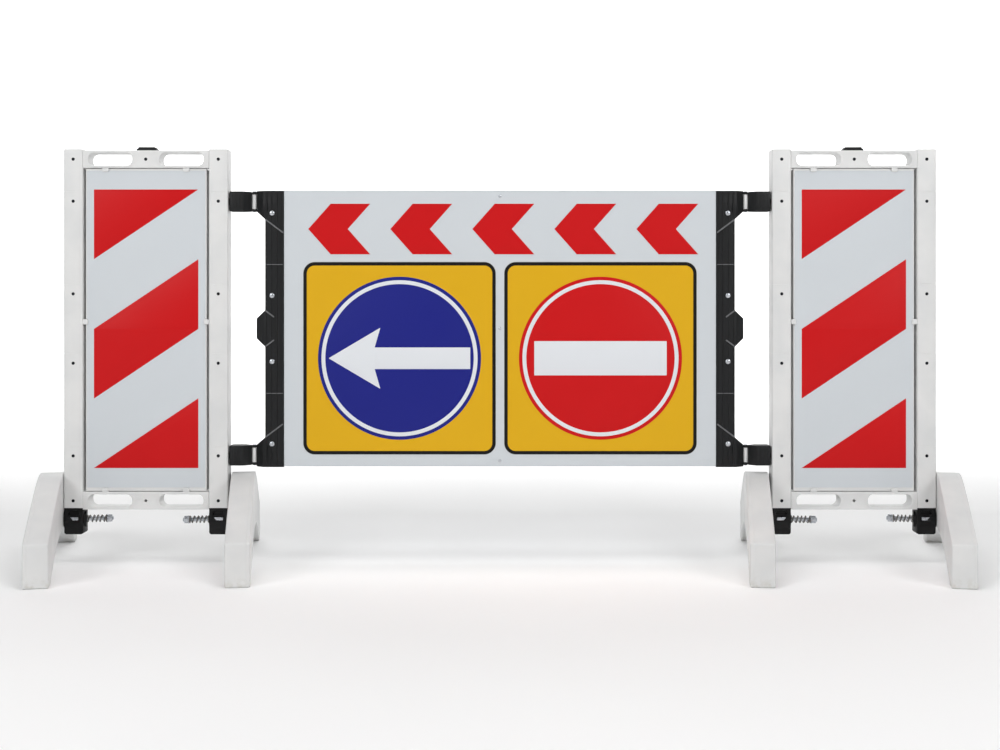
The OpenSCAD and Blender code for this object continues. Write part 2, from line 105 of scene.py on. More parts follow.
# %% Outlines with round corners
def outline(corners, radius, steps=6):
    """A closed outline whose corners are arcs. The arc of a corner P with radius r touches both
    sides: its centre lies r / sin(half angle) from P along the line that halves the corner.
    A radius of 0 keeps the corner as one point."""
    p = np.asarray(corners, float)
    r = np.broadcast_to(np.asarray(radius, float), len(p))
    a, b = np.roll(p, 1, 0) - p, np.roll(p, -1, 0) - p
    a /= np.linalg.norm(a, axis=1, keepdims=True)
    b /= np.linalg.norm(b, axis=1, keepdims=True)
    half = 0.5 * np.arccos(np.clip((a * b).sum(1), -1, 1))
    split = (a + b) / np.maximum(np.linalg.norm(a + b, axis=1, keepdims=True), 1e-9)
    centre = p + split * (r / np.sin(half))[:, None]
    start = p + a * (r / np.tan(half))[:, None] - centre
    way = np.sign(a[:, 1] * b[:, 0] - a[:, 0] * b[:, 1])
    turn = (way * (math.pi - 2 * half))[:, None] * np.linspace(0, 1, steps + 1)
    c, s = np.cos(turn), np.sin(turn)
    arc = np.stack([c * start[:, :1] - s * start[:, 1:], s * start[:, :1] + c * start[:, 1:]], 2)
    keep = np.ones((len(p), steps + 1), bool)
    keep[r == 0, 1:] = False
    return (centre[:, None] + arc)[keep]


def box_outline(x0, x1, y0, y1, radius, steps=6):
    """A rectangle with round corners, counter-clockwise."""
    return outline([(x0, y0), (x1, y0), (x1, y1), (x0, y1)], radius, steps)


def ring(cx, cy, radius, count=96):
    """A circle of points round (cx, cy): (cx + r cos t, cy + r sin t)."""
    t = np.arange(count) * 2 * math.pi / count
    return np.stack([cx + radius * np.cos(t), cy + radius * np.sin(t)], 1)


def area(loop):
    """Signed area of a closed outline, by the sum of x_i y_(i+1) - x_(i+1) y_i."""
    nxt = np.roll(loop, -1, 0)
    return 0.5 * (loop[:, 0] * nxt[:, 1] - nxt[:, 0] * loop[:, 1]).sum()


def inset(loop, depth):
    """The outline moved to its left by depth: each point goes along the sum of its two sides'
    normals, divided by 1 + their dot product, so that both sides move by the same amount."""
    side = np.roll(loop, -1, 0) - loop
    side /= np.linalg.norm(side, axis=1, keepdims=True)
    normal = np.stack([-side[:, 1], side[:, 0]], 1)
    before = np.roll(normal, 1, 0)
    return loop + depth * (normal + before) / (1 + (normal * before).sum(1, keepdims=True))


print("a 40 x 20 outline has area", round(area(box_outline(0, 40, 0, 20, 3)), 1))

# %% [markdown]
# ## Solids
#
# A solid here is a pair: an array of points and a list of face arrays. Three rules make almost
# every piece of the barrier. A *plate* is an outline with thickness and rounded edges, with or
# without holes. A *turned* part is a profile spun round an axis, as on a lathe. A *rod* is a
# circle carried along a path. The volume's sign tells us whether the faces look outwards, which
# is safer than remembering the order of every loop.


# %% Grids and closed solids
def grid_faces(rows, columns, wrap_rows=False, start=0):
    """Quads between neighbouring points of a grid whose columns close on themselves."""
    i = np.arange(rows if wrap_rows else rows - 1)[:, None]
    j = np.arange(columns)[None, :]
    k, n = (i + 1) % rows, (j + 1) % columns
    quads = np.stack([i * columns + j, i * columns + n, k * columns + n, k * columns + j], -1)
    return start + quads.reshape(-1, 4)


def volume(points, faces):
    """Signed volume of a closed solid: a sixth of the triple products of its triangles."""
    total = 0.0
    for f in faces:
        if len(f):
            for k in range(1, f.shape[1] - 1):
                a, b, c = points[f[:, 0]], points[f[:, k]], points[f[:, k + 1]]
                total += np.einsum("ij,ij->", a, np.cross(b, c)) / 6
    return total


def outward(points, faces):
    """The solid with its faces looking outwards."""
    faces = [np.asarray(f, int) for f in faces]
    centred = points - points.mean(0)
    return points, faces if volume(centred, faces) > 0 else [f[:, ::-1] for f in faces]


def joined(*solids):
    """Several solids as one."""
    points, faces, start = [], [], 0
    for p, f in solids:
        points.append(p)
        faces += [part + start for part in f]
        start += len(p)
    return np.concatenate(points), faces


def mirrored(solid, side):
    """The solid as it is for the left side, or its mirror image in X for the right side."""
    if side == "left":
        return solid
    return solid[0] * np.array([-1, 1, 1]), [f[:, ::-1] for f in solid[1]]


print("grid of 4 x 5 points has", len(grid_faces(4, 5)), "quads")


# %% Plates: an edge profile carried round an outline
AXES = {"x": (1, 2, 0), "y": (0, 2, 1), "z": (0, 1, 2)}
EDGE_STEPS = 3


def laid(flat, height, axis):
    """Points (u, v) of an outline at a height along the named axis."""
    points = np.empty((len(flat), 3))
    u, v, w = AXES[axis]
    points[:, u], points[:, v], points[:, w] = flat[:, 0], flat[:, 1], height
    return points


def edge_rings(low, high, edge):
    """(inset, height) pairs of a quarter round of radius e at both ends: the inset is
    e (1 - sin t) and the depth below the face e (1 - cos t), for t from 0 to 90 degrees."""
    t = np.linspace(0, math.pi / 2, EDGE_STEPS + 1)
    off, deep = edge * (1 - np.sin(t)), edge * (1 - np.cos(t))
    return [*zip(off, low + deep), *zip(off[::-1], high - deep[::-1])]


def inside(spots, loop):
    """Which spots lie in a closed outline: a ray from each crosses its sides an odd number of
    times."""
    x, y = spots[:, :1], spots[:, 1:]
    a, b = loop, np.roll(loop, -1, 0)
    crosses = (a[:, 1] > y) != (b[:, 1] > y)
    rise = np.where(b[:, 1] == a[:, 1], 1.0, b[:, 1] - a[:, 1])
    return (crosses & (x < a[:, 0] + (y - a[:, 1]) / rise * (b[:, 0] - a[:, 0]))).sum(1) % 2 == 1


def filled(loops):
    """Triangles between an outer loop and its holes, as places in the joined loops. A Delaunay
    mesh that keeps every side covers the whole outline; the triangles whose middle lies outside
    it or in a hole are dropped, and the rest are turned counter-clockwise."""
    flat = np.concatenate(loops)
    sides, start = [], 0
    for loop in loops:
        k = np.arange(len(loop))
        sides += (np.stack([k, (k + 1) % len(loop)], 1) + start).tolist()
        start += len(loop)
    found = delaunay_2d_cdt([Vector(q) for q in flat.tolist()], sides, [], 0, 1e-7)
    home = np.array([o[0] if o else np.abs(flat - np.array(v)).sum(1).argmin()
                     for v, o in zip(found[0], found[3])])
    triangles = home[np.array(found[2])]
    spots = flat[triangles].mean(1)
    keep = inside(spots, loops[0])
    for hole in loops[1:]:
        keep &= ~inside(spots, hole)
    a, b, c = (flat[triangles[:, k]] for k in range(3))
    turn = (b[:, 0] - a[:, 0]) * (c[:, 1] - a[:, 1]) - (b[:, 1] - a[:, 1]) * (c[:, 0] - a[:, 0])
    triangles = np.where(turn[:, None] < 0, triangles[:, ::-1], triangles)
    return triangles[keep & (np.abs(turn) > 1e-9)]


def plate(outer, low, high, edge=1.0, axis="y", holes=()):
    """A flat solid between two heights along an axis, with rounded edges. Each loop's wall is
    the edge profile carried round it, and the two faces fill the space between the loops."""
    loops = [outer if area(outer) > 0 else outer[::-1]]
    loops += [h if area(h) < 0 else h[::-1] for h in holes]
    rings = edge_rings(low, high, edge)
    points, faces, caps, start = [], [], ([], []), 0
    for loop in loops:
        rows = [laid(inset(loop, off), height, axis) for off, height in rings]
        points += rows
        faces.append(grid_faces(len(rings), len(loop), start=start))
        caps[0].append(np.arange(len(loop)) + start)
        caps[1].append(np.arange(len(loop)) + start + (len(rings) - 1) * len(loop))
        start += len(rings) * len(loop)
    triangles = filled([inset(loop, rings[0][0]) for loop in loops])
    for end, order in ((0, -1), (1, 1)):
        faces.append(np.concatenate(caps[end])[triangles][:, ::order])
    return outward(np.concatenate(points), faces)


def rounded_box(low, high, edge, axis="y", radius=None):
    """A box with rounded edges, as a plate with a rectangular outline."""
    u, v, w = AXES[axis]
    radius = edge if radius is None else radius
    shape = box_outline(low[u], high[u], low[v], high[v], radius, 4)
    return plate(shape, low[w], high[w], edge, axis)


print("a rounded box has", len(rounded_box((0, 0, 0), (10, 10, 10), 1)[0]), "points")


# %% Turned parts, rods and coils
def spun(axis, count):
    """The unit vector w along an axis, and unit vectors cos t u + sin t v all round it."""
    w = np.asarray(axis, float) / np.linalg.norm(axis)
    u = np.cross(w, (0, 0, 1) if abs(w[2]) < 0.9 else (1, 0, 0))
    u /= np.linalg.norm(u)
    t = np.arange(count) * 2 * math.pi / count
    return w, np.cos(t)[:, None] * u + np.sin(t)[:, None] * np.cross(w, u)


def turned(profile, centre, axis=(0, 0, 1), count=48):
    """A profile of (distance along the axis, radius) spun round the axis and closed at its ends.
    A point at angle t is centre + a along + r (cos t u + sin t v)."""
    w, circle = spun(axis, count)
    along, radius = np.asarray(profile, float).T
    points = np.asarray(centre, float) + along[:, None, None] * w + radius[:, None, None] * circle
    rows = len(along)
    caps = [np.arange(count)[None, ::-1], np.arange(count)[None, :] + (rows - 1) * count]
    return outward(points.reshape(-1, 3), [grid_faces(rows, count), *caps])


def ring_part(low, high, inner, outer, centre, axis, edge=0.4, count=48):
    """A bush or washer: a closed rectangular profile spun round the axis, with soft edges."""
    w, circle = spun(axis, count)
    section = box_outline(low, high, inner, outer, edge, 3)
    points = (np.asarray(centre, float) + section[None, :, :1] * w
              + section[None, :, 1:] * circle[:, None, :])
    return outward(points.reshape(-1, 3), [grid_faces(count, len(section), wrap_rows=True)])


def rod(path, radius, count=12):
    """A circle carried along a path, closed at both ends. At each point the circle stands on the
    plane square to the path, turned as little as possible from the one before it."""
    path = np.asarray(path, float)
    along = np.gradient(path, axis=0)
    along /= np.linalg.norm(along, axis=1, keepdims=True)
    normal = np.cross(along, (0.31, 0.17, 0.93))
    normal /= np.linalg.norm(normal, axis=1, keepdims=True)
    other = np.cross(along, normal)
    t = np.arange(count) * 2 * math.pi / count
    wall = (path[:, None] + radius * (np.cos(t)[None, :, None] * normal[:, None]
            + np.sin(t)[None, :, None] * other[:, None]))
    caps = [np.arange(count)[None, ::-1], np.arange(count)[None, :] + (len(path) - 1) * count]
    return outward(wall.reshape(-1, 3), [grid_faces(len(path), count), *caps])


def dome(radius, height, rows=5):
    """(height, radius) pairs of a rivet's or screw's round head, a part of an ellipse."""
    t = np.linspace(0, math.pi / 2 * 0.93, rows)
    return list(zip(height * np.sin(t), radius * np.cos(t)))


print("a turned pin has", len(turned([(0, 2), (10, 2)], (0, 0, 0))[0]), "points")

# %% [markdown]
# ## Finishes
#
# A shader node reads the surface's own coordinates, so a pattern stays put when the camera
# moves. Colours are written the way a printer or moulder would quote them, as sRGB hex values,
# and one function turns them into the linear light that the renderer works with.


# %% Colours, nodes and pieces
def light(hex_colour):
    """sRGB hex to linear RGBA: ((c + 0.055) / 1.055) ** 2.4, or c / 12.92 when dark."""
    c = np.array([int(hex_colour[i:i + 2], 16) for i in (1, 3, 5)]) / 255
    c = np.where(c <= 0.04045, c / 12.92, ((c + 0.055) / 1.055) ** 2.4)
    return (*[float(v) for v in c], 1.0)


def add(material, kind, settings=None, **links):
    """Adds a node, sets its properties and inputs, and links the outputs given by name."""
    tree = material.node_tree
    node = tree.nodes.new(kind)
    for key, value in (settings or {}).items():
        if isinstance(key, str) and hasattr(node, key):
            setattr(node, key, value)
        else:
            node.inputs[key].default_value = value
    for key, source in links.items():
        tree.links.new(source, node.inputs[key.replace("_", " ")])
    return node


def finish(name, base, roughness, **extra):
    """A new material with a Principled shader, and the piece's own coordinates in metres."""
    material = bpy.data.materials.new(name)
    material.use_nodes = True
    shader = material.node_tree.nodes["Principled BSDF"]
    shader.inputs["Base Color"].default_value = light(base)
    shader.inputs["Roughness"].default_value = roughness
    for key, value in extra.items():
        shader.inputs[key.replace("_", " ")].default_value = value
    place = add(material, "ShaderNodeTexCoord").outputs["Object"]
    return material, shader, place


def mixed(material, factor, low, high):
    """A colour that goes from low to high with a factor."""
    mix = add(material, "ShaderNodeMix", {"data_type": "RGBA"})
    mix.inputs[6].default_value = light(low)
    mix.inputs[7].default_value = light(high)
    material.node_tree.links.new(factor, mix.inputs[0])
    return mix.outputs[2]


def grain(material, place, size_mm, detail=2.0):
    """Noise whose blotches are about size_mm across. Its scale counts blotches in a metre."""
    return add(material, "ShaderNodeTexNoise", {"Scale": 1000 / size_mm, "Detail": detail},
               Vector=place).outputs["Fac"]


def ramp(material, factor, low, high):
    """0 below low, 1 above high, and a straight slope between."""
    node = add(material, "ShaderNodeMapRange",
               {"From Min": low, "From Max": high, "To Min": 0.0, "To Max": 1.0})
    material.node_tree.links.new(factor, node.inputs["Value"])
    return node.outputs["Result"]


def bumped(material, shader, height, depth_mm, strength=1.0):
    """Links a height pattern to the shader's normal. depth_mm is the height of the pattern."""
    bump = add(material, "ShaderNodeBump", {"Strength": strength, "Distance": depth_mm * MM},
               Height=height)
    material.node_tree.links.new(bump.outputs["Normal"], shader.inputs["Normal"])


def linked(material, source, shader, socket):
    """Feeds a pattern into one of the shader's inputs."""
    material.node_tree.links.new(source, shader.inputs[socket])


print("road red in linear light:", [round(v, 3) for v in light("#d3191f")[:3]])

# %% [markdown]
# The towers, boards and feet are blow moulded in white high density polyethylene. That gives a
# satin skin with a fine leathery grain from the sandblasted mould, a slow wave in the gloss where
# the wall cooled unevenly, and a little grime that collects on the lowest parts.


# %% Moulded polyethylene
def moulded_polyethylene(name, clean, worn, roughness, grime_height=0.0):
    """White polyethylene. IOR 1.54. Grain of 1.2 mm, drawn coarser than the real 0.3 mm so
    that it shows, and blotches of 90 mm for the uneven gloss."""
    material, shader, place = finish(name, clean, roughness, IOR=1.54)
    blotch = grain(material, place, 90, 3)
    colour = mixed(material, ramp(material, blotch, 0.35, 0.75), clean, worn)
    if grime_height:
        split = add(material, "ShaderNodeSeparateXYZ", Vector=place)
        low = ramp(material, split.outputs["Z"], grime_height, 0.0)
        speck = ramp(material, grain(material, place, 14, 4), 0.45, 0.7)
        both = add(material, "ShaderNodeMath", {"operation": "MULTIPLY"})
        material.node_tree.links.new(low, both.inputs[0])
        material.node_tree.links.new(speck, both.inputs[1])
        grimy = add(material, "ShaderNodeMix", {"data_type": "RGBA"})
        material.node_tree.links.new(both.outputs[0], grimy.inputs[0])
        material.node_tree.links.new(colour, grimy.inputs[6])
        grimy.inputs[7].default_value = light("#c9c7c1")
        colour = grimy.outputs[2]
    linked(material, colour, shader, "Base Color")
    gloss = add(material, "ShaderNodeMapRange",
                {"From Min": 0.3, "From Max": 0.7,
                 "To Min": roughness - 0.05, "To Max": roughness + 0.1},
                Value=blotch)
    linked(material, gloss.outputs["Result"], shader, "Roughness")
    bumped(material, shader, grain(material, place, 1.2, 2), 0.05, 0.35)
    return material


white_moulding = moulded_polyethylene("white_moulded_polyethylene", "#dededd", "#d4d5d5", 0.45)
foot_moulding = moulded_polyethylene("white_foot_polyethylene", "#dcdcdb", "#d3d4d4", 0.52, 0.03)
print("made", white_moulding.name, "and", foot_moulding.name)

# %% [markdown]
# Road signs are faced with retroreflective sheeting: a clear film over tiny prisms, welded to
# its backing along a lattice of thin lines. Seen close, that lattice makes a faint diamond net,
# and the clear film lays a weak, soft second gloss over the colour.


# %% Retroreflective sheeting
CELL_MM = 5.0


def reflective_sheeting(name, colour, seal, roughness=0.45):
    """Printed prismatic sheeting: acrylic top film of IOR 1.49. The welded lattice is two sets
    of bands across each other at 45 degrees. The real cells are about 3 mm wide, drawn as 5 mm."""
    material, shader, place = finish(name, colour, roughness, IOR=1.49, Coat_Weight=0.04,
                                     Coat_Roughness=0.35, Specular_IOR_Level=0.2)
    bands = []
    for angle in (45, -45):
        turned_place = add(material, "ShaderNodeMapping", Vector=place)
        turned_place.inputs["Rotation"].default_value = (0, math.radians(angle), 0)
        wave = add(material, "ShaderNodeTexWave",
                   {"wave_type": "BANDS", "bands_direction": "X",
                    "Scale": 1000 / CELL_MM * 2 * math.pi / 20, "Distortion": 0.0},
                   Vector=turned_place.outputs["Vector"])
        bands.append(ramp(material, wave.outputs["Fac"], 0.93, 1.0))
    lattice = add(material, "ShaderNodeMath", {"operation": "MAXIMUM"})
    for k, band in enumerate(bands):
        material.node_tree.links.new(band, lattice.inputs[k])
    blotch = grain(material, place, 160, 2)
    weight = add(material, "ShaderNodeMath", {"operation": "MULTIPLY", 1: 0.45})
    material.node_tree.links.new(lattice.outputs[0], weight.inputs[0])
    linked(material, mixed(material, weight.outputs[0], colour, seal), shader, "Base Color")
    gloss = add(material, "ShaderNodeMapRange",
                {"From Min": 0.3, "From Max": 0.7,
                 "To Min": roughness - 0.04, "To Max": roughness + 0.08},
                Value=blotch)
    linked(material, gloss.outputs["Result"], shader, "Roughness")
    bumped(material, shader, lattice.outputs[0], 0.04, 0.25)
    return material


white_sheeting = reflective_sheeting("white_reflective_sheeting", "#ced3d7", "#c3c8cd")
red_sheeting = reflective_sheeting("red_reflective_sheeting", "#c8060c", "#ba040a")
yellow_sheeting = reflective_sheeting("yellow_reflective_sheeting", "#dcaa14", "#d0a00f")
blue_sheeting = reflective_sheeting("blue_reflective_sheeting", "#181f80", "#131a75")
sign_white = reflective_sheeting("sign_white_reflective_sheeting", "#dfe2e6", "#d4d8dc")
black_print = reflective_sheeting("black_printed_sheeting", "#0b0908", "#0f0c0b", 0.5)
print("sheeting cells are", CELL_MM, "mm wide")

# %% [markdown]
# The end frames, hinge blocks and foot brackets carry the load, so they are injection moulded in
# black nylon filled with glass fibre. The fibre dulls the gloss into fine flow streaks, and
# handling polishes a few spots. A paler copy of the nylon is a painted highlight on the end
# frames' slanted ribs and seams, and a darker copy is painted shade on the foot brackets. Screws
# are blackened steel; pins, bolts and springs are zinc plated, which leaves a fine spangle and a
# faint blue-yellow tint.


# %% Black nylon
def glass_filled_nylon(name, deep, pale):
    """Black nylon with 30 % glass. IOR 1.53. Spark-eroded grain of 1 mm and flow streaks that
    are stretched along Z, 4 mm wide and 60 mm long."""
    material, shader, place = finish(name, deep, 0.5, IOR=1.53, Specular_IOR_Level=0.25)
    stretch = add(material, "ShaderNodeMapping", Vector=place)
    stretch.inputs["Scale"].default_value = (1, 1, 4 / 60)
    streak = grain(material, stretch.outputs["Vector"], 4, 2)
    linked(material, mixed(material, ramp(material, streak, 0.4, 0.7), deep, pale),
           shader, "Base Color")
    gloss = add(material, "ShaderNodeMapRange",
                {"From Min": 0.3, "From Max": 0.7, "To Min": 0.4, "To Max": 0.58},
                Value=grain(material, place, 30, 3))
    linked(material, gloss.outputs["Result"], shader, "Roughness")
    bumped(material, shader, grain(material, place, 1.0, 2), 0.06, 0.4)
    return material


black_nylon = glass_filled_nylon("black_glass_filled_nylon", "#151617", "#1a1b1d")
# A darker copy of the black nylon: the extra darkness is painted shade on the foot brackets under
# the posts.
shaded_bracket_nylon = glass_filled_nylon("shaded_black_bracket_nylon", "#070708", "#0b0b0c")
# A paler copy of the black nylon: its lightness is a painted highlight on the end frames' slanted
# ribs and seams.
ridge_highlight_nylon = glass_filled_nylon("ridge_highlight_black_nylon", "#626365", "#6f7072")
print("made", black_nylon.name, shaded_bracket_nylon.name, ridge_highlight_nylon.name)


# %% Zinc plate and blackened steel
def plated_steel(name, bright, dull, roughness, spangle_mm):
    """Plated steel: metallic, with spangles of the given size that differ in tint and gloss."""
    material, shader, place = finish(name, bright, roughness, Metallic=1.0)
    cell = add(material, "ShaderNodeTexVoronoi", {"Scale": 1000 / spangle_mm}, Vector=place)
    split = add(material, "ShaderNodeSeparateXYZ", Vector=cell.outputs["Color"])
    linked(material, mixed(material, split.outputs["X"], bright, dull), shader, "Base Color")
    gloss = add(material, "ShaderNodeMapRange", {"From Min": 0.0, "From Max": 1.0,
                "To Min": roughness - 0.06, "To Max": roughness + 0.12},
                Value=split.outputs["Y"])
    linked(material, gloss.outputs["Result"], shader, "Roughness")
    bumped(material, shader, grain(material, place, 0.8, 2), 0.02, 0.3)
    return material


zinc_plate = plated_steel("zinc_plated_steel", "#cfd2d6", "#b4b8bf", 0.3, 3.0)
sheet_zinc = plated_steel("galvanised_sheet", "#b9bdc2", "#a6abb1", 0.38, 9.0)
spring_wire = plated_steel("zinc_plated_spring_wire", "#8f8d89", "#6f6d6a", 0.36, 2.0)
black_steel = plated_steel("blackened_steel", "#2c2d31", "#222327", 0.4, 2.0)
print("made", zinc_plate.name, sheet_zinc.name, black_steel.name)

# %% [markdown]
# ## From a solid to a piece
#
# A piece is an object at the origin whose mesh lies in place. It rides on a body of the frame,
# takes a finish, and may stand for nodes of the frame, which then stay hidden. Smooth shading
# with sharp edges kept is what makes the rounded edges catch light.

# %% Make a piece
SHARP = math.radians(32)
made = {}


def piece(name, solid, material, body, stands_for=()):
    """Turns a solid in millimetres into an object that rides on a body."""
    points, faces = solid
    mesh = bpy.data.meshes.new(name)
    mesh.from_pydata((points * MM).tolist(), [], [f for part in faces for f in part.tolist()])
    mesh.validate()
    mesh.materials.append(material)
    mesh.shade_smooth()
    mesh.set_sharp_from_angle(angle=SHARP)
    thing = bpy.data.objects.new(name, mesh)
    bpy.context.scene.collection.objects.link(thing)
    if stands_for:
        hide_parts(*stands_for)
    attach(thing, body)
    made[name] = len(points)
    return thing


def dress(node, material):
    """Gives a frame node, whose shape is right as it is, a better finish."""
    for holder in frame["nodes"][node].material_slots:
        holder.material = material


dress("sign_plate", sheet_zinc)
dress("sign_film", white_sheeting)
dress("rear_stiffener", sheet_zinc)
print("dressed the sign plate, its film and its stiffener")

# %% [markdown]
# ## The signs
#
# Sign graphics are printed or cut sheeting laid one on another. An image texture would be the
# usual quick way, but cut sheets stay crisp at any distance, so every shape is a thin plate of
# its own: a border, a disc, a ring, an arrow and a bar, each a fraction of a millimetre proud.

# %% Chevrons
LAYER = 0.12
SHEET_EDGE = 0.05
sheet_front = sheet_low[1]


def layer(shape, level, holes=()):
    """A cut sheet in the sign's plane: level 0 lies on the yellow sheet, level 1 on level 0."""
    front = sheet_front - LAYER * (level + 1)
    return plate(shape, front, front + LAYER, SHEET_EDGE, "y", holes)


dress("chevron_decals", red_sheeting)
for side in SIDES:
    dress(f"{side}_sign_sheet", yellow_sheeting)
print("sign sheets start at Y", round(sheet_front, 2), "mm")

# %% [markdown]
# Both square signs share a black border with round corners and a disc with a white ring. The
# ring starts a little way in from the disc's rim, so the rim shows as a thin coloured line.

# %% Border, disc and ring
BORDER = 8.5
CORNER = 28.0
DISC = 200.0
RIM, RING = 8.5, 9.5


def sign_middle(side):
    """Centre of a square sign in X and Z."""
    m = middle(f"{side}_sign_sheet")
    return m[0], m[2]


for side, colour in (("left", blue_sheeting), ("right", red_sheeting)):
    low, high = span(f"{side}_sign_sheet")
    outer = box_outline(low[0], high[0], low[2], high[2], CORNER, 12)
    inner = box_outline(low[0] + BORDER, high[0] - BORDER, low[2] + BORDER, high[2] - BORDER,
                        CORNER - BORDER, 12)
    piece(f"{side}_sign_border", layer(outer, 0, [inner]), black_print, "sign_unit")
    x, z = sign_middle(side)
    piece(f"{side}_sign_disc", layer(ring(x, z, DISC, 160), 0), colour, "sign_unit")
    white_ring = layer(ring(x, z, DISC - RIM, 160), 1, [ring(x, z, DISC - RIM - RING, 160)])
    piece(f"{side}_sign_ring", white_ring, sign_white, "sign_unit")
print("disc diameter", 2 * DISC, "mm")

# %% Arrow and bar
ARROW_TIP, ARROW_TAIL, SHAFT, BARB = 174.0, 173.5, 53.0, 75.0
BARB_BACK, NECK_BACK = 47.0, 61.0
BAR_W, BAR_H = 325.0, 84.0
x, z = sign_middle("left")
arrow = outline([
    (x - ARROW_TIP, z), (x - BARB_BACK, z - BARB), (x - NECK_BACK, z - SHAFT / 2),
    (x + ARROW_TAIL, z - SHAFT / 2), (x + ARROW_TAIL, z + SHAFT / 2),
    (x - NECK_BACK, z + SHAFT / 2), (x - BARB_BACK, z + BARB)], 0.8, 3)
piece("left_sign_arrow", layer(arrow, 1), sign_white, "sign_unit")
x, z = sign_middle("right")
bar = box_outline(x - BAR_W / 2, x + BAR_W / 2, z - BAR_H / 2, z + BAR_H / 2, 1.0, 3)
piece("right_sign_bar", layer(bar, 1), sign_white, "sign_unit")
print("sign pieces:", [n for n in made if "sign" in n])

# %% [markdown]
# ## End frames
#
# Each end of the sign plate runs in a slot of a tall nylon moulding. It has a hinge wing at the
# top and bottom, a grip in the middle, and shallow ribs that stiffen it: some run up the face
# and some carry the slope of each wing across the upright. The outline comes from the frame's
# box and a few typed widths and slopes, and the ribs are slim rounded bars sunk into the face.


# %% End frame outline
UPRIGHT_W = 46.0
WING_H, WING_SLOPE = 50.0, 20.0
GRIP_HALF = 24.5
FRAME_DROP = 2.0
PIN_GAP = 5.8
WING_REACH = 23.7
WEDGE = math.tan(math.radians(42))
hinge_x = -turns["left_tower_swing"]["pos_m"][0] / MM
frame_in = -hinge_x + PIN_GAP + WING_REACH + UPRIGHT_W
frame_out = -hinge_x + PIN_GAP
upright_x = frame_in - UPRIGHT_W
plate_mid = (plate_low[2] + plate_high[2]) / 2
frame_half = -span("left_end_frame")[0][1]


def frame_points():
    """Corners of the left end frame in X and Z, from the inner top corner round."""
    z0, z1, zm = plate_low[2], plate_high[2], plate_mid
    base = GRIP_HALF + WING_SLOPE
    return [(frame_in, z1), (frame_out, z1), (frame_out, z1 - WING_H),
            (upright_x, z1 - WING_H - WING_SLOPE), (upright_x, zm + base),
            (frame_out, zm + GRIP_HALF), (frame_out, zm - GRIP_HALF), (upright_x, zm - base),
            (upright_x, z0 + WING_H + 1 + WING_SLOPE), (frame_out, z0 + WING_H + 1),
            (frame_out, z0 - FRAME_DROP), (frame_in, z0 - FRAME_DROP)]


print("end frame from X", round(frame_out, 1), "to", round(frame_in, 1))


# %% Wedge ends and ribs
def tapered(solid, axis_x, reach, half_depth):
    """Squeezes a solid towards Y = 0 near a hinge axis, so that its depth at distance d from
    the axis is at most d tan 42: y becomes y * min(1, d tan 42 / half depth)."""
    points = solid[0].copy()
    far = np.abs(points[:, 0] - axis_x)
    points[:, 1] *= np.minimum(1, np.maximum(far, reach) * WEDGE / half_depth)
    return points, solid[1]


def cut_columns(shape, xs):
    """Adds points where an outline's sides cross the given X values, so a bend can follow."""
    out = []
    for p, q in zip(shape, np.roll(shape, -1, 0)):
        out.append(p[None])
        t = np.sort([(c - p[0]) / (q[0] - p[0]) for c in xs if (c - p[0]) * (c - q[0]) < 0])
        if len(t):
            out.append(p + np.asarray(t)[:, None] * (q - p))
    return np.concatenate(out)


def bar(x0, z0, x1, z1, width, front, depth):
    """A rounded rib from (x0, z0) to (x1, z1) that stands up from the face in -Y."""
    run = np.array([x1 - x0, z1 - z0])
    side = np.array([-run[1], run[0]]) / np.hypot(*run) * width / 2
    a, b = np.array([x0, z0]), np.array([x1, z1])
    shape = outline([a - side, b - side, b + side, a + side], width * 0.3, 3)
    return plate(shape, front, front + depth, min(0.8, width * 0.3), "y")


RIB_RISE, RIB_SLOPE = 1.6, 0.75
RIB_W, SLANT_W, SEAM_W = 3.2, 3.6, 1.8
SEAMS = (157, -159)
face = -frame_half + RIB_RISE
ribs_up = [frame_in - 3.5, frame_in - 17, frame_in - 31, upright_x + 3]
print("upright ribs at X", np.round(ribs_up, 1))

# %% End frames
BEND = frame_half / WEDGE


def both_faces(solid):
    """A solid on the front face together with its mirror image on the back face."""
    return joined(solid, (solid[0] * np.array([1, -1, 1]), [f[:, ::-1] for f in solid[1]]))


def upright_ribs():
    """Ribs that run up the upright."""
    z0, z1 = plate_low[2] - FRAME_DROP + 2, plate_high[2] - 2
    return both_faces(joined(*[bar(x, z0, x, z1, RIB_W, -frame_half, RIB_RISE + 1)
                               for x in ribs_up]))


def slant_ribs():
    """Ribs that carry the slopes of the wings and of the grip across the upright, and two fine
    seams where the mould's inserts meet. Their paler nylon is a painted highlight along these
    ridges."""
    z1, zm = plate_high[2], plate_mid
    wide = frame_in - 2 - upright_x
    wing, grip = WING_H + WING_SLOPE, GRIP_HALF + WING_SLOPE
    starts = [(z1 - wing, -RIB_SLOPE, wide), (plate_low[2] + wing + 1, RIB_SLOPE, wide),
              (zm + grip, -RIB_SLOPE, wide / 2), (zm - grip, RIB_SLOPE, wide / 2)]
    ribs = [bar(upright_x + 1, z + slope, upright_x + reach, z + slope * reach, SLANT_W,
                -frame_half - 0.4, RIB_RISE + 1) for z, slope, reach in starts]
    ribs += [bar(upright_x + 1.5, zm + off, frame_in - 1.5, zm + off, SEAM_W,
                 -frame_half - 0.1, RIB_RISE + 1) for off in SEAMS]
    return both_faces(joined(*ribs))


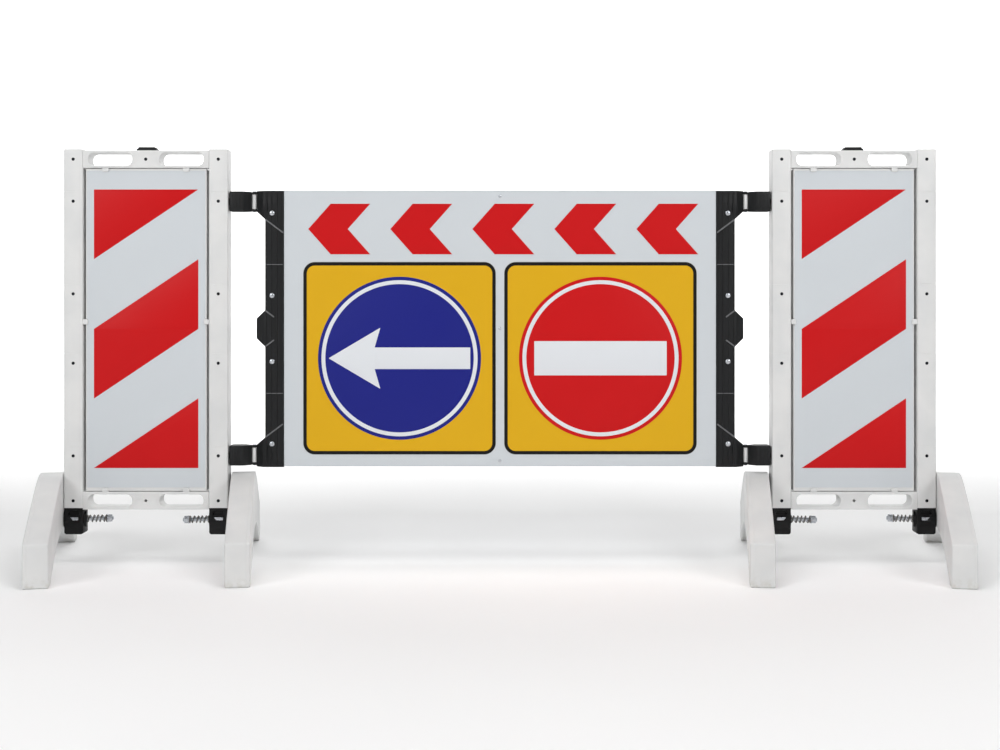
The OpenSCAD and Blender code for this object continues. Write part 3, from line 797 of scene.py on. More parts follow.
def end_frame():
    """The left end frame: two half shells either side of the plate's slot, joined by a web at
    the outer edge, with ribs on both faces."""
    bend_xs = np.linspace(frame_out + 0.5, -hinge_x + BEND, 6)
    corners = np.array(frame_points())
    shape = cut_columns(outline(corners, [1, 2, 2, 4, 4, 3, 3, 4, 4, 2, 2, 1], 3), bend_xs)
    slot_front, slot_back = plate_low[1] - 0.2, plate_high[1] + 0.2
    corners[:, 0] = np.minimum(corners[:, 0], plate_low[0] - 1)
    web = cut_columns(outline(corners, [0.5, 2, 2, 1, 1, 3, 3, 1, 1, 2, 2, 0.5], 3), bend_xs)
    parts = [plate(shape, face, slot_front, 0.9), plate(shape, slot_back, -face, 0.9),
             plate(web, slot_front - 0.5, slot_back + 0.5, 0.1), upright_ribs()]
    return tapered(joined(*parts), -hinge_x, PIN_GAP, frame_half)


EAR_R, EAR_STRAP, EAR_HALF_W, PIN_BORE = 5.5, 3.0, 5.0, 2.55


def ears(heights, thickness, hinge, away):
    """The ears of a hinge: half a disc round a bore, and a strap towards the carrying part."""
    t = np.linspace(0.5 * math.pi, 1.5 * math.pi, 17)
    arc = np.stack([hinge + away * EAR_R * np.cos(t), EAR_R * np.sin(t)], 1)
    strap = hinge + away * (PIN_GAP + EAR_STRAP)
    shape = np.concatenate([arc, [(strap, -EAR_HALF_W), (strap, EAR_HALF_W)]])
    bore = ring(hinge, 0, PIN_BORE, 32)
    return [plate(shape, z, z + thickness, 0.4, "z", [bore]) for z in heights]


HINGE_HALF, EAR, RUN = 24.5, 3.0, 0.3
hinge_zs = (plate_low[2] + 26, plate_high[2] - 26)
for side in SIDES:
    wings = end_frame()
    outer_ears = [ear for z in hinge_zs for ear in
                  ears((z - HINGE_HALF, z + HINGE_HALF - EAR), EAR, -hinge_x, 1)]
    piece(f"{side}_end_frame_moulding", mirrored(joined(wings, *outer_ears), side), black_nylon,
          "sign_unit", [f"{side}_end_frame"])
    piece(f"{side}_end_frame_slant_ribs", mirrored(slant_ribs(), side), ridge_highlight_nylon, "sign_unit")
print("end frame moulding has", made["left_end_frame_moulding"], "points")

# %% [markdown]
# ## Rivets, pins and sleeves
#
# Small bright parts are spun like lathe work. A rivet is a shank with a domed head at both
# ends, and a hinge pin has a head on top and a swaged end below. The white sleeve between the
# ears keeps the two nylon mouldings from rubbing.

# %% Rivets
RIVET_X, RIVET_HEAD = plate_low[0] + 11, 6.2
RIVET_OFFSETS = np.array([-283, -81, 81, 283])


def rivet(x, z, low, high, head, rise):
    """A rivet along Y between two faces, with a dome at each end."""
    front = [(low - h, r) for h, r in dome(head, rise)][::-1]
    back = [(high + h, r) for h, r in dome(head, rise)]
    shank = [(low, 2.4), (high, 2.4)]
    return turned([*front, *shank, *back], (x, 0, z), (0, 1, 0), 32)


for side in SIDES:
    low, high = span(f"{side}_frame_rivets")
    zs = plate_mid + RIVET_OFFSETS
    rivets = joined(*[rivet(RIVET_X, z, low[1] + 2, high[1] - 2, RIVET_HEAD, 2.0) for z in zs])
    piece(f"{side}_frame_rivet_heads", mirrored(rivets, side), zinc_plate, "sign_unit",
          [f"{side}_frame_rivets"])
low, high = span("panel_rivets")
zs = plate_mid + np.array([-1, 0, 1]) * ((plate_high[2] - plate_low[2]) / 2 - 13.5)
panel = joined(*[rivet(0, z, low[1] + 1.6, high[1] - 1.6, 4.2, 1.5) for z in zs])
piece("panel_rivet_heads", panel, zinc_plate, "sign_unit", ["panel_rivets"])
print("rivets at Z", np.round(zs, 1))

# %% Hinge pins and sleeves
for side in SIDES:
    pins, sleeves = [], []
    for z in hinge_zs:
        head = [(HINGE_HALF, 4.1), (HINGE_HALF + 1.0, 4.1), (HINGE_HALF + 1.5, 3.4)]
        tail = [(-HINGE_HALF - 1.2, 3.0), (-HINGE_HALF - 1.0, 3.5), (-HINGE_HALF, 3.6)]
        pins.append(turned([*tail, (-HINGE_HALF, 2.5), (HINGE_HALF, 2.5), *head],
                           (-hinge_x, 0, z), (0, 0, 1), 32))
        half = HINGE_HALF - 2 * EAR - 2 * RUN
        sleeves.append(ring_part(-half, half, PIN_BORE, 4.9, (-hinge_x, 0, z), (0, 0, 1), 0.5, 32))
    piece(f"{side}_hinge_pin_shafts", mirrored(joined(*pins), side), zinc_plate, "sign_unit",
          [f"{side}_hinge_pins"])
    piece(f"{side}_hinge_bushes", mirrored(joined(*sleeves), side), white_moulding, "sign_unit",
          [f"{side}_hinge_sleeves"])
print("hinge pins at X", round(-hinge_x, 1), "and Z", np.round(hinge_zs, 1))

# %% [markdown]
# ## Hinge blocks
#
# The block that joins a hinge to a post is a stout moulding with a wedge end, so that the tower
# can swing without its corners meeting the frame. A collar stands against the post and a spigot
# goes inside it, held by a screw.

# %% Hinge blocks
BLOCK_END, BLOCK_HALF_D = 52.7 + PIN_GAP, 22.0
COLLAR, COLLAR_R, SPIGOT_R = 3.0, 10.0, 8.0


def wedge_plan():
    """Plan of a block in X (away from the hinge) and Y, counter-clockwise."""
    far = BLOCK_HALF_D / WEDGE
    near = PIN_GAP * WEDGE
    corners = [(PIN_GAP, -near), (far, -BLOCK_HALF_D), (BLOCK_END, -BLOCK_HALF_D),
               (BLOCK_END, BLOCK_HALF_D), (far, BLOCK_HALF_D), (PIN_GAP, near)]
    return outline(corners, [0.6, 3, 3, 3, 3, 0.6], 4) * np.array([-1, 1]) + (-hinge_x, 0)


def hinge_block(z):
    """A left hinge block at a height, with its ears, collar, spigot and two grip ridges."""
    body = plate(wedge_plan(), z - HINGE_HALF, z + HINGE_HALF, 2.2, "z")
    inner = HINGE_HALF - EAR - RUN
    lugs = ears((z + inner - EAR, z - inner), EAR, -hinge_x, -1)
    start = -hinge_x - BLOCK_END
    collar = turned([(-1, COLLAR_R), (COLLAR, COLLAR_R), (COLLAR, SPIGOT_R),
                     (COLLAR + 34, SPIGOT_R), (COLLAR + 35.2, SPIGOT_R - 1.2)],
                    (start, 0, z), (-1, 0, 0))
    ridge_xs = np.linspace(start + 9, start + 31, 4)
    ridges = []
    for way in (-1, 1):
        for x in ridge_xs:
            low = (x - 1.6, way * BLOCK_HALF_D - 0.4, z - HINGE_HALF + 6)
            high = (x + 1.6, way * BLOCK_HALF_D + 0.4, z + HINGE_HALF - 6)
            ridges.append(rounded_box(low, high, 0.35, "y", 1.4))
    return joined(body, *lugs, collar, *ridges)


for side in SIDES:
    blocks = joined(*[hinge_block(z) for z in hinge_zs])
    piece(f"{side}_hinge_block_mouldings", mirrored(blocks, side), black_nylon, f"{side}_tower",
          [f"{side}_hinge_blocks"])
print("hinge block points:", made["left_hinge_block_mouldings"])

# %% [markdown]
# ## Posts and rails
#
# A post is a hollow moulding, closed on top. Its mould leaves fine parting lines across the
# faces, which are real grooves here: the outline is carried up the post, and at each line it
# steps in by less than a millimetre. The rails are plates with two hand slots whose edges are
# rounded for the fingers.


# %% Posts
POST_R = 3.0
GROOVE, GROOVE_W = 0.5, 1.4


def hollow_post(low, high, wall, grooves):
    """A tube closed on top: the outline is carried down the inner wall, round the bottom rim and
    up the outer wall, stepping in at each parting line."""
    shape = box_outline(low[0], high[0], low[1], high[1], POST_R, 5)
    rings = [(wall, high[2] - wall), (wall, low[2]), (0.4, low[2]), (0, low[2] + 0.4)]
    for z in grooves:
        half = GROOVE_W / 2
        rings += [(0, z - half), (GROOVE, z - half / 3), (GROOVE, z + half / 3), (0, z + half)]
    t = np.linspace(0, math.pi / 2, 4)
    rings += [(2 * (1 - math.cos(a)), high[2] - 2 + 2 * math.sin(a)) for a in t]
    points = np.concatenate([laid(inset(shape, off), z, "z") for off, z in rings])
    count, rows = len(shape), len(rings)
    caps = [np.arange(count)[None, ::-1], np.arange(count)[None, :] + (rows - 1) * count]
    return outward(points, [grid_faces(rows, count), *caps])


rail_zs = [middle(f"left_{end}_rail")[2] for end in ("bottom", "top")]
SCREW_MID = 85
screw_zs = np.array([rail_zs[0], hinge_zs[0], plate_mid - SCREW_MID, plate_mid + SCREW_MID,
                     hinge_zs[1], rail_zs[1]])
PARTING, POST_WALL = 24.0, 3.0
for side in SIDES:
    for place in ("outer", "inner"):
        low, high = span(f"{side}_{place}_post")
        post = hollow_post(low, high, POST_WALL, screw_zs[1:-1] + PARTING)
        piece(f"{side}_{place}_post_moulding", post, white_moulding, f"{side}_tower",
              [f"{side}_{place}_post"])
print("post heights", np.round(high - low, 1), "screws at", np.round(screw_zs, 1))

# %% Rails
SLOT_LEN, SLOT_H, SLOT_X, SLOT_R = 108.0, 31.0, 87.5, 14.0
RAIL_HOLE = 3.5


def rail(side, node, holes):
    """A rail between two posts with its hand slots, and a tenon into each post."""
    low, high = span(node)
    x, z = (low[0] + high[0]) / 2, (low[2] + high[2]) / 2
    inner = span(f"{side}_inner_post")
    outer = span(f"{side}_outer_post")
    x0 = min(inner[1][0], outer[1][0])
    x1 = max(inner[0][0], outer[0][0])
    shape = box_outline(x0, x1, low[2], high[2], 0.8, 3)
    slots = [box_outline(x + s * SLOT_X - SLOT_LEN / 2, x + s * SLOT_X + SLOT_LEN / 2,
                         z - SLOT_H / 2, z + SLOT_H / 2, SLOT_R, 10) for s in (-1, 1)]
    body = plate(shape, low[1], high[1], 0.7, "y", [*slots, *holes(x, z)])
    tenons = [rounded_box((a, -17, z - 15), (b, 17, z + 15), 0.6)
              for a, b in ((low[0], x0 + 0.5), (x1 - 0.5, high[0]))]
    lips = []
    for slot in slots:
        for face_y, way in ((low[1], -1), (high[1], 1)):
            lips.append(plate(inset(slot[::-1], 5.0), min(face_y, face_y + way * 0.6),
                              max(face_y, face_y + way * 0.6), 0.25, "y",
                              [inset(slot[::-1], 0.9)]))
    return joined(body, *tenons, *lips)


for side in SIDES:
    bottom = rail(side, f"{side}_bottom_rail", lambda x, z: [ring(x, z, RAIL_HOLE, 32)])
    piece(f"{side}_bottom_rail_moulding", bottom, white_moulding, f"{side}_tower",
          [f"{side}_bottom_rail"])
    top = rail(side, f"{side}_top_rail", lambda x, z: [])
    piece(f"{side}_top_rail_moulding", top, white_moulding, f"{side}_tower",
          [f"{side}_top_rail"])
print("rail points", made["left_top_rail_moulding"])

# %% [markdown]
# ## Striped boards
#
# The board is a flat white moulding with rounded edges. Its sheeting carries red and white
# bands that climb to the right. The bands are one rectangle cut by slanted lines, so each red
# band is the part of the rectangle between two parallel lines. Cutting polygons by a line is a
# short piece of geometry, and the red shapes come out exact.


# %% Boards
for side in SIDES:
    low, high = span(f"{side}_board")
    piece(f"{side}_board_moulding", rounded_box(low, high, 1.2, "y", 2.0), white_moulding,
          f"{side}_tower", [f"{side}_board"])
print("board", np.round(span("left_board")[1] - span("left_board")[0], 1))


# %% Cutting a polygon by a line
def kept(shape, slope, offset, above):
    """The part of a convex polygon above or below the line z = slope x + offset. Every side
    that crosses the line gets a point there."""
    d = (shape[:, 1] - slope * shape[:, 0] - offset) * (1 if above else -1)
    out = []
    for k in range(len(shape)):
        n = (k + 1) % len(shape)
        if d[k] >= 0:
            out.append(shape[k])
        if d[k] * d[n] < 0:
            out.append(shape[k] + d[k] / (d[k] - d[n]) * (shape[n] - shape[k]))
    return np.array(out)


FIELD_W, FIELD_LOW, FIELD_HIGH = 256.0, 232.7, 916.0
SLANT = 171.0 / FIELD_W
LINES = (745.0, 574.0, 403.0, 233.0)
FILM_SIDE, FILM_TOP, FILM_BOTTOM = 3.0, 5.0, 9.0


def red_bands(x):
    """Red polygons of a board whose middle is at x: above the first line, between the second
    and third, and below the fourth. A line is given by its height at the field's left side."""
    field = np.array([(x - FIELD_W / 2, FIELD_LOW), (x + FIELD_W / 2, FIELD_LOW),
                      (x + FIELD_W / 2, FIELD_HIGH), (x - FIELD_W / 2, FIELD_HIGH)])
    at = [z - SLANT * (x - FIELD_W / 2) for z in LINES]
    band = kept(kept(field, SLANT, at[1], False), SLANT, at[2], True)
    return [kept(field, SLANT, at[0], True), band, kept(field, SLANT, at[3], False)]


for side in SIDES:
    low, high = span(f"{side}_board")
    film_low, film_high = span(f"{side}_board_film")
    sheet = box_outline(low[0] + FILM_SIDE, high[0] - FILM_SIDE, low[2] + FILM_BOTTOM,
                        high[2] - FILM_TOP, 2.0, 4)
    piece(f"{side}_board_sheeting", plate(sheet, film_low[1], film_high[1], 0.12), white_sheeting,
          f"{side}_tower", [f"{side}_board_film"])
    print_low = film_low[1] - LAYER
    x = (low[0] + high[0]) / 2
    bands = [plate(outline(b, 0.6, 2), print_low, film_low[1], SHEET_EDGE) for b in red_bands(x)]
    piece(f"{side}_board_red_bands", joined(*bands), red_sheeting, f"{side}_tower")
print("red bands:", len(bands), "slant", round(math.degrees(math.atan(SLANT)), 1), "degrees")

# %% [markdown]
# A board sits in a frame of posts with a few millimetres to spare. A slim lip behind each side
# closes that gap, so it reads as a grey line and not as a slit of daylight. It is a plain
# rounded box, which is enough for a part that only shows through a gap.

# %% Lips behind the boards
LIP_W, LIP_T, LIP_REACH, LIP_GAP = 12.0, 3.0, 6.3, 0.2
for side in SIDES:
    board_low, board_high = span(f"{side}_board")
    lips = []
    back = board_high[1] + LIP_GAP
    for edge, way in ((board_low[0], -1), (board_high[0], 1)):
        x0, x1 = sorted((edge + way * LIP_REACH, edge + way * (LIP_REACH - LIP_W)))
        lips.append(rounded_box((x0, back, board_low[2] + 2),
                                (x1, back + LIP_T, board_high[2] - 2), 0.6))
    piece(f"{side}_board_back_lips", joined(*lips), white_moulding, f"{side}_tower")
print("lips behind the boards are", LIP_W, "mm wide")

# %% Board clips
CLIP_W, CLIP_H, CLIP_X = 16.0, 9.4, 99
for side in SIDES:
    low, high = span(f"{side}_board_clips")
    board_low, board_high = span(f"{side}_board")
    x = (low[0] + high[0]) / 2
    front, back = low[1], high[1]
    clips = []
    for s in (-1, 1):
        for z0, z1 in ((high[2] - CLIP_H, high[2]), (low[2], low[2] + CLIP_H)):
            half = CLIP_W / 2
            centre = x + s * CLIP_X
            shape = outline([(centre - half, z0), (centre + half, z0), (centre + half, z1),
                             (centre - half, z1)], [4, 4, 0.8, 0.8] if z1 == high[2]
                            else [0.8, 0.8, 4, 4], 5)
            clips.append(plate(shape, front, back, 0.8))
    mid = plate_mid + 10
    for x0, x1 in ((low[0], low[0] + 12.4), (high[0] - 12.4, high[0])):
        clips.append(plate(box_outline(x0, x1, mid, mid + 13, 3.0, 4), front, back, 0.8))
    piece(f"{side}_board_clip_mouldings", joined(*clips), white_moulding, f"{side}_tower",
          [f"{side}_board_clips"])
print("clips:", len(clips), "a board")

# %% [markdown]
# ## Screws and lamp sockets
#
# Each post screw is blackened steel with a low domed head and a hexagon recess. The recess is a
# small detail, but a plain disc would look like a sticker. The lamp socket on the top rail is a
# black cap with a blind hole for the stud of a warning lamp.


# %% Post screws
def screw(x, z, low, high):
    """A screw along Y: two domed heads with a hexagon recess, and a shank between them. The
    recess is a six-sided well in the head's end face."""
    head, rise, key, well = 4.0, 1.0, 1.6, 0.8
    parts = [turned([(low + rise, 2.5), (high - rise, 2.5)], (x, 0, z), (0, 1, 0), 24)]
    for face_y, way in ((low + rise, -1), (high - rise, 1)):
        profile = [(way * h, r) for h, r in dome(head, rise, 4)]
        t = np.arange(24) * 2 * math.pi / 24
        circle = np.stack([np.cos(t), np.zeros(24), np.sin(t)], 1)
        six = 1 / np.cos(t % (math.pi / 3) - math.pi / 6)
        rows = [np.array([x, face_y, z]) + r * circle + (0, h, 0) for h, r in profile]
        top = profile[-1][0]
        rows.append(np.array([x, face_y, z]) + key * six[:, None] * circle + (0, top, 0))
        rows.append(np.array([x, face_y, z]) + key * six[:, None] * circle
                    + (0, top - way * well, 0))
        caps = [np.arange(24)[None, ::-1], np.arange(24)[None, :] + (len(rows) - 1) * 24]
        parts.append(outward(np.concatenate(rows), [grid_faces(len(rows), 24), *caps]))
    return joined(*parts)


for side in SIDES:
    low, high = span(f"{side}_post_screws")
    xs = [middle(f"{side}_{place}_post")[0] for place in ("outer", "inner")]
    spots = [(x, z) for x in xs for z in screw_zs] + [(sum(xs) / 2, screw_zs[-1])]
    screws = joined(*[screw(x, z, low[1], high[1]) for x, z in spots])
    piece(f"{side}_post_screw_heads", screws, black_steel, f"{side}_tower",
          [f"{side}_post_screws"])
print("screws on a tower:", len(spots))

# %% Lamp sockets
for side in SIDES:
    low, high = span(f"{side}_lamp_socket")
    x, top = (low[0] + high[0]) / 2, high[2]
    base = span(f"{side}_top_rail")[1][2]
    half, deep = (high[0] - low[0]) / 2, high[1]
    cap = plate(box_outline(x - half, x + half, -deep, deep, 4.0, 6), base, base + 5, 0.8, "z",
                [ring(x, 0, 6.6, 40)])
    crown = plate(box_outline(x - half + 3, x + half - 3, -deep + 3, deep - 3, 4.0, 6),
                  base + 4, top, 1.4, "z", [ring(x, 0, 6.5, 40)])
    stem = turned([(low[2], 11.5), (top - 24, 11.5), (top - 24, 6.5)], (x, 0, 0))
    sleeve = ring_part(top - 24.2, base + 0.5, 6.5, 11.5, (x, 0, 0), (0, 0, 1))
    piece(f"{side}_lamp_socket_cap", joined(cap, crown, stem, sleeve), black_nylon,
          f"{side}_tower", [f"{side}_lamp_socket"])
print("lamp socket top at Z", round(top, 1))

# %% [markdown]
# ## Legs
#
# Each leg has its own small frame: one axis along the bolt, one across it and one up. The feet
# are toed in, so this frame is turned a few degrees from the tower's. Working in the leg's frame
# keeps every piece simple, and one function carries it to its place.


# %% A leg's own frame
def at_leg(solid, leg):
    """Carries a solid from (along the bolt, across, up) to its place: origin + along a +
    across b + up z, where b is the bolt's axis turned a quarter turn."""
    joint = turns[f"{leg}_foot_turn"]
    a = np.array(joint["axis"], float)
    b = np.array([-a[1], a[0], 0])
    origin = np.array(joint["pos_m"], float) / MM
    points = origin + solid[0] @ np.array([a, b, [0, 0, 1]])
    return points, solid[1]


BOLT_Z = turns["left_outer_foot_turn"]["pos_m"][2] / MM
FOOT_HALF, PAD = 350.0, 45.0
FOOT_H, FOOT_END, ARCH = 220.0, 99.0, BOLT_Z - 17
RIDGE = 80.0
FOOT_FACE, FOOT_T = 46.5 / 2 + 5.2 + 0.3, 57.0
BOLT_OUT = FOOT_FACE + FOOT_T - 8
print("foot slab from", FOOT_FACE, "to", FOOT_FACE + FOOT_T, "mm along the bolt")


# %% Arched feet
def arc_points(half, rise, height, count):
    """Points of a flat arch from +half to -half whose middle is at the given height: the circle
    through the middle and both ends has the radius (half^2 + rise^2) / (2 rise)."""
    radius = (half * half + rise * rise) / (2 * rise)
    end = math.asin(half / radius)
    t = np.linspace(end, -end, count)
    return np.stack([radius * np.sin(t), height - radius + radius * np.cos(t)], 1)


def ridge_points(count):
    """Points of a foot's top from +half to -half, a hyperbola: it falls with
    sqrt(y^2 + s^2) - s, which is round over the ridge's size s and nearly straight beyond it."""
    y = np.linspace(FOOT_HALF, -FOOT_HALF, count)
    fall = np.sqrt(y * y + RIDGE * RIDGE) - RIDGE
    return np.stack([y, FOOT_H - BOLT_Z - (FOOT_H - FOOT_END) * fall / fall[0]], 1)


def foot_outline():
    """Side view of a foot, from the bolt's height: the ridged top, an end face down to the
    floor, a pad, the arch below and the other pad."""
    top = ridge_points(49)
    under = arc_points(FOOT_HALF - PAD, ARCH, ARCH - BOLT_Z, 41)[::-1]
    corners = np.concatenate([top, [(-FOOT_HALF, -BOLT_Z)], under, [(FOOT_HALF, -BOLT_Z)]])
    radius = np.zeros(len(corners))
    radius[[0, len(top) - 1]] = 6.0
    radius[[len(top), len(corners) - 1]] = 5.0
    radius[[len(top) + 1, len(corners) - 2]] = 2.0
    return outline(corners, radius, 5)


def arched_foot():
    """A slab with rounded edges and a recess for the bolt's head in its outer face."""
    head_well = ring(0, 0, 12.0, 48)
    bore = ring(0, 0, 5.05, 48)
    inner = plate(foot_outline(), FOOT_FACE, BOLT_OUT, 3.0, "x", [bore])
    outer = plate(foot_outline(), BOLT_OUT - 4, FOOT_FACE + FOOT_T, 3.0, "x", [head_well])
    return joined(inner, outer)


for leg in LEGS:
    side = leg.split("_")[0]
    piece(f"{leg}_foot_moulding", at_leg(arched_foot(), leg), foot_moulding, f"{leg}_foot_body",
          [f"{leg}_foot"])
print("foot points", made["left_outer_foot_moulding"])

# %% Bolts and nuts
SPRING_SEAT, SPRING_LEN, WASHER_T, NUT_T = 46.5 / 2 + 3, 48.0, 2.0, 10.0
NUT_START = -SPRING_SEAT - 0.6 - SPRING_LEN


def hexagon(width):
    """A hexagon of the given width across its flats, with slightly broken corners."""
    t = (np.arange(6) + 0.5) * math.pi / 3
    across = width / 2 / math.cos(math.pi / 6)
    return outline(np.stack([across * np.cos(t), across * np.sin(t)], 1), 0.6, 2)


def threads(start, end, radius, pitch, depth):
    """(distance, radius) pairs of a thread drawn as rings: a saw of the given pitch."""
    count = int((end - start) / pitch)
    crest = start + (np.arange(count) + 0.5) * pitch
    root = start + np.arange(count) * pitch
    pairs = np.stack([np.stack([root, np.full(count, radius - depth)], 1),
                      np.stack([crest, np.full(count, radius)], 1)], 1)
    return [tuple(p) for p in pairs.reshape(-1, 2)]


for leg in LEGS:
    low_x = NUT_START - WASHER_T - NUT_T - 3
    profile = [(low_x, 4.2), *threads(low_x + 0.5, NUT_START + 10, 5.0, 1.5, 0.6),
               (NUT_START + 11, 5.0), (BOLT_OUT, 5.0), (BOLT_OUT, 10.6), (BOLT_OUT + 0.4, 11.0)]
    profile += [(BOLT_OUT + 2.4 + h, r) for h, r in dome(11.0, 3.6, 6)]
    shaft = turned(profile, (0, 0, 0), (1, 0, 0), 40)
    piece(f"{leg}_bolt_shaft", at_leg(shaft, leg), zinc_plate, f"{leg}_bolt_unit",
          [f"{leg}_bolt"])
    washer = ring_part(NUT_START - WASHER_T, NUT_START, 5.05, 10.0, (0, 0, 0), (1, 0, 0), 0.3)
    nut = plate(hexagon(16.0), NUT_START - WASHER_T - NUT_T, NUT_START - WASHER_T, 0.8, "x",
                [ring(0, 0, 4.6, 36)])
    piece(f"{leg}_nut_and_washer", at_leg(joined(washer, nut), leg), zinc_plate,
          f"{leg}_bolt_unit", [f"{leg}_nut"])
print("nut starts", round(NUT_START, 1), "mm along the bolt")

# %% [markdown]
# The spring pushes the bolt's nut inwards, so the foot is held against its bracket. Its ends are
# closed and ground, so the first and last turns lie flat and the pitch opens between them.

# %% Springs
TURNS, WIRE, COIL = 6.0, 1.5, 7.9
POINTS_A_TURN = 28


def coil_path():
    """A helix of radius R: (x(t), R cos 2 pi t, R sin 2 pi t). x stays still for three quarters
    of a turn at each end and climbs evenly between them."""
    t = np.linspace(0, TURNS, int(TURNS * POINTS_A_TURN))
    climb = np.clip((t - 0.75) / (TURNS - 1.5), 0, 1)
    smooth = climb + 0.02 * np.sin(2 * math.pi * climb)
    x = -SPRING_SEAT - 0.3 - WIRE - (SPRING_LEN - 2 * WIRE) * smooth
    return np.stack([x, COIL * np.cos(2 * math.pi * t), COIL * np.sin(2 * math.pi * t)], 1)


for leg in LEGS:
    side = leg.split("_")[0]
    joint = turns[f"{leg}_foot_pull"]
    axis = np.array(joint["axis"], float)
    seat = np.array(turns[f"{leg}_foot_turn"]["pos_m"]) - axis * SPRING_SEAT * MM
    spring = piece(f"{leg}_spring_coil", at_leg(rod(coil_path(), WIRE, 14), leg), spring_wire,
                   f"{side}_tower", [f"{leg}_spring"])
    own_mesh(spring)

# %% [markdown]
# The bracket under a post takes the bolt. Its block lines up with the post while the boss
# follows the bolt, so the two meet at a small angle. A window in its front shows a zinc lock
# plate, and a stud goes up into the bottom rail.

# %% Foot brackets
BRACKET_HALF_W, BRACKET_HALF_D = 46.5 / 2, 22.0
BOSS_R, STUD_R = 20.0, 9.0
WINDOW_W, WINDOW_H = 26.0, 12.0


def bracket(leg):
    """The bracket's block as three layers, so its front and back have a window, with a stud on
    top and the boss along the bolt."""
    x = turns[f"{leg}_foot_turn"]["pos_m"][0] / MM
    post = span(f"{leg}_post")[0][2]
    low = span(f"{leg}_bracket")[0][2]
    x0, x1 = x - BRACKET_HALF_W, x + BRACKET_HALF_W
    shape = outline([(x0, low), (x1, low), (x1, post), (x0, post)], [6, 6, 1, 1], 6)
    window = box_outline(x - WINDOW_W / 2, x + WINDOW_W / 2, BOLT_Z + 3 - WINDOW_H / 2,
                         BOLT_Z + 3 + WINDOW_H / 2, 3.0, 5)
    hood = outline([(x - 15, BOLT_Z + 13), (x + 15, BOLT_Z + 13), (x + 11, BOLT_Z + 23),
                    (x - 11, BOLT_Z + 23)], [2, 2, 5, 5], 5)
    shell = BRACKET_HALF_D - 6
    core = plate(shape, -shell, shell, 0.3)
    covers = [plate(shape, -BRACKET_HALF_D, -shell + 0.2, 2.0, "y", [window, hood]),
              plate(shape, shell - 0.2, BRACKET_HALF_D, 2.0, "y", [window, hood])]
    stud = turned([(post - 1, STUD_R), (post + 24, STUD_R), (post + 26, STUD_R - 2)],
                  (x, 0, 0))
    boss = ring_part(-BRACKET_HALF_W - 3, BRACKET_HALF_W + 5.2, 5.05, BOSS_R, (0, 0, 0),
                     (1, 0, 0), 1.0, 64)
    return joined(core, *covers, stud, at_leg(boss, leg))


LOCK_HALF_W, LOCK_YS, LOCK_ZS = 11, (15.5, 21.0), (-1, 7)


def lock_plate(leg):
    """A zinc plate behind each window, as a short bar with rounded edges."""
    x = turns[f"{leg}_foot_turn"]["pos_m"][0] / MM
    parts = []
    for way in (-1, 1):
        y0, y1 = sorted(way * y for y in LOCK_YS)
        parts.append(rounded_box((x - LOCK_HALF_W, y0, BOLT_Z + LOCK_ZS[0]),
                                 (x + LOCK_HALF_W, y1, BOLT_Z + LOCK_ZS[1]), 1.2))
    return joined(*parts)


for leg in LEGS:
    side = leg.split("_")[0]
    piece(f"{leg}_bracket_moulding", bracket(leg), shaded_bracket_nylon, f"{side}_tower",
          [f"{leg}_bracket"])
    piece(f"{leg}_lock_plate", lock_plate(leg), zinc_plate, f"{side}_tower")
print("pieces so far:", len(made))

# %% [markdown]
# ## Studio
#
# The barrier stands on a pale floor that curves up into a pale wall, so no hard horizon cuts
# behind it. The wall is lit from behind, as in a light tent, so it stays white. Two large soft
# lights from the front corners and one from above give even faces and darker sides. The room
# itself is dim, because a bright one would lay a grey haze over the red and blue film. The
# camera is level and far enough away that the towers stay upright, and a small lens shift
# places the barrier low in the picture without tilting the view.

# %% Floor and wall
BACKLIT_FROM = 0.8
FLOOR_W, FLOOR_FRONT, FLOOR_BACK, SWEEP = 16.0, -7.0, 4.5, 2.2
t = np.linspace(0, math.pi / 2, 17)
bend = np.stack([FLOOR_BACK + SWEEP * np.sin(t), SWEEP * (1 - np.cos(t))], 1)
side_view = np.concatenate([[(FLOOR_FRONT, 0.0)], bend, [(FLOOR_BACK + SWEEP, 9.0)]])
rows = len(side_view)
floor_points = np.concatenate([np.column_stack([np.full(rows, x), side_view])
                               for x in (-FLOOR_W / 2, FLOOR_W / 2)])
k = np.arange(rows - 1)
floor_mesh = bpy.data.meshes.new("floor")
floor_mesh.from_pydata(floor_points.tolist(), [],
                       np.stack([k, k + rows, k + rows + 1, k + 1], 1).tolist())
floor_mesh.shade_smooth()
floor = bpy.data.objects.new("floor", floor_mesh)
bpy.context.scene.collection.objects.link(floor)
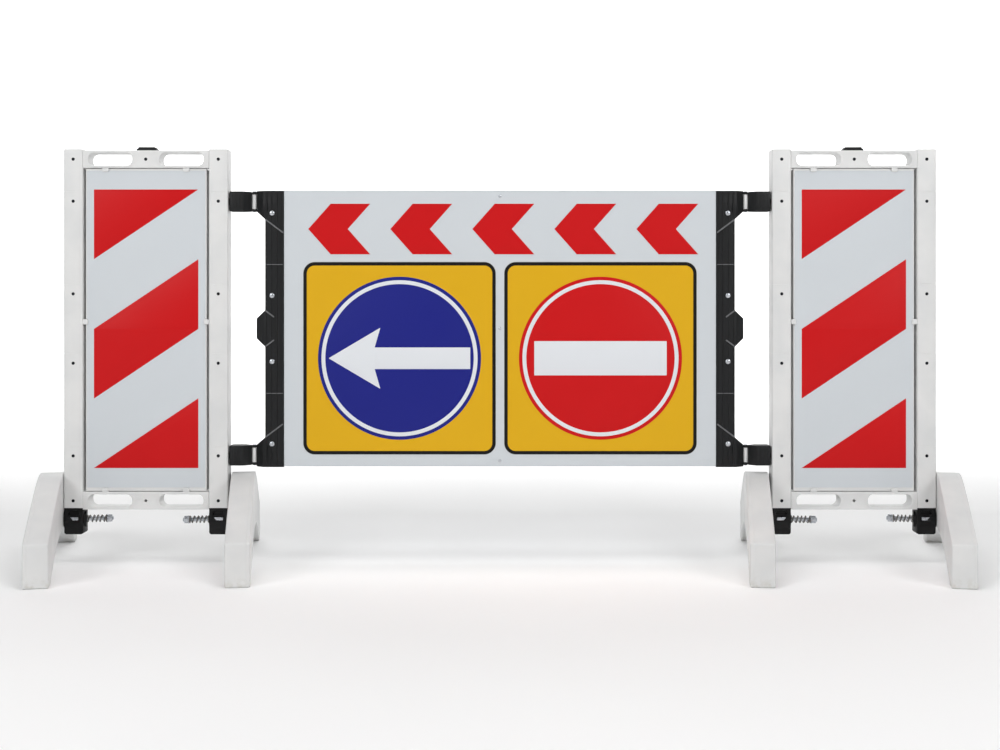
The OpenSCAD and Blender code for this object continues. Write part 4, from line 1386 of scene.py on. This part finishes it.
paper, paper_shader, paper_place = finish("studio_paper", "#fbfbfb", 0.9)
linked(paper, mixed(paper, grain(paper, paper_place, 700, 2), "#f7f7f7", "#fdfdfd"), paper_shader,
       "Base Color")
across = add(paper, "ShaderNodeSeparateXYZ", Vector=paper_place)
backlit = ramp(paper, across.outputs["Y"], BACKLIT_FROM, FLOOR_BACK)
linked(paper, backlit, paper_shader, "Emission Strength")
paper_shader.inputs["Emission Color"].default_value = light("#ffffff")
floor_mesh.materials.append(paper)
print("floor runs from", FLOOR_FRONT, "to", FLOOR_BACK + SWEEP, "m")


# %% Lights
def soft_light(name, place, target, size, watts):
    """A square area light at a place that looks at a target."""
    data = bpy.data.lights.new(name, "AREA")
    data.shape, data.size, data.energy = "SQUARE", size, watts
    lamp = bpy.data.objects.new(name, data)
    lamp.location = place
    way = Vector(target) - Vector(place)
    lamp.rotation_euler = way.to_track_quat("-Z", "Y").to_euler()
    bpy.context.scene.collection.objects.link(lamp)


for name, x in (("front_left", -3.2), ("front_right", 3.2)):
    soft_light(name, (x, -4.6, 2.8), (0, 0, 0.5), 2.4, 108)
soft_light("top", (0, -0.6, 4.2), (0, 0, 0.3), 3.0, 75)
world = bpy.context.scene.world or bpy.data.worlds.new("world")
bpy.context.scene.world = world
world.use_nodes = True
world.node_tree.nodes["Background"].inputs["Color"].default_value = (1.0, 1.0, 1.0, 1.0)
world.node_tree.nodes["Background"].inputs["Strength"].default_value = 0.16
bpy.context.scene.view_settings.view_transform = "Standard"

# %% Camera
CAMERA_H, CAMERA_BACK = 0.64, 3.6
camera_data = bpy.data.cameras.new("camera")
camera_data.lens, camera_data.sensor_width = 52.9, 36.0
camera_data.shift_y = -0.073
camera = bpy.data.objects.new("camera", camera_data)
front_plane = span("left_outer_post")[0][1] * MM
camera.location = (0, front_plane - CAMERA_BACK, CAMERA_H)
camera.rotation_euler = (math.radians(90), 0, 0)
bpy.context.scene.collection.objects.link(camera)
bpy.context.scene.camera = camera
print("camera at", tuple(round(v, 3) for v in camera.location))
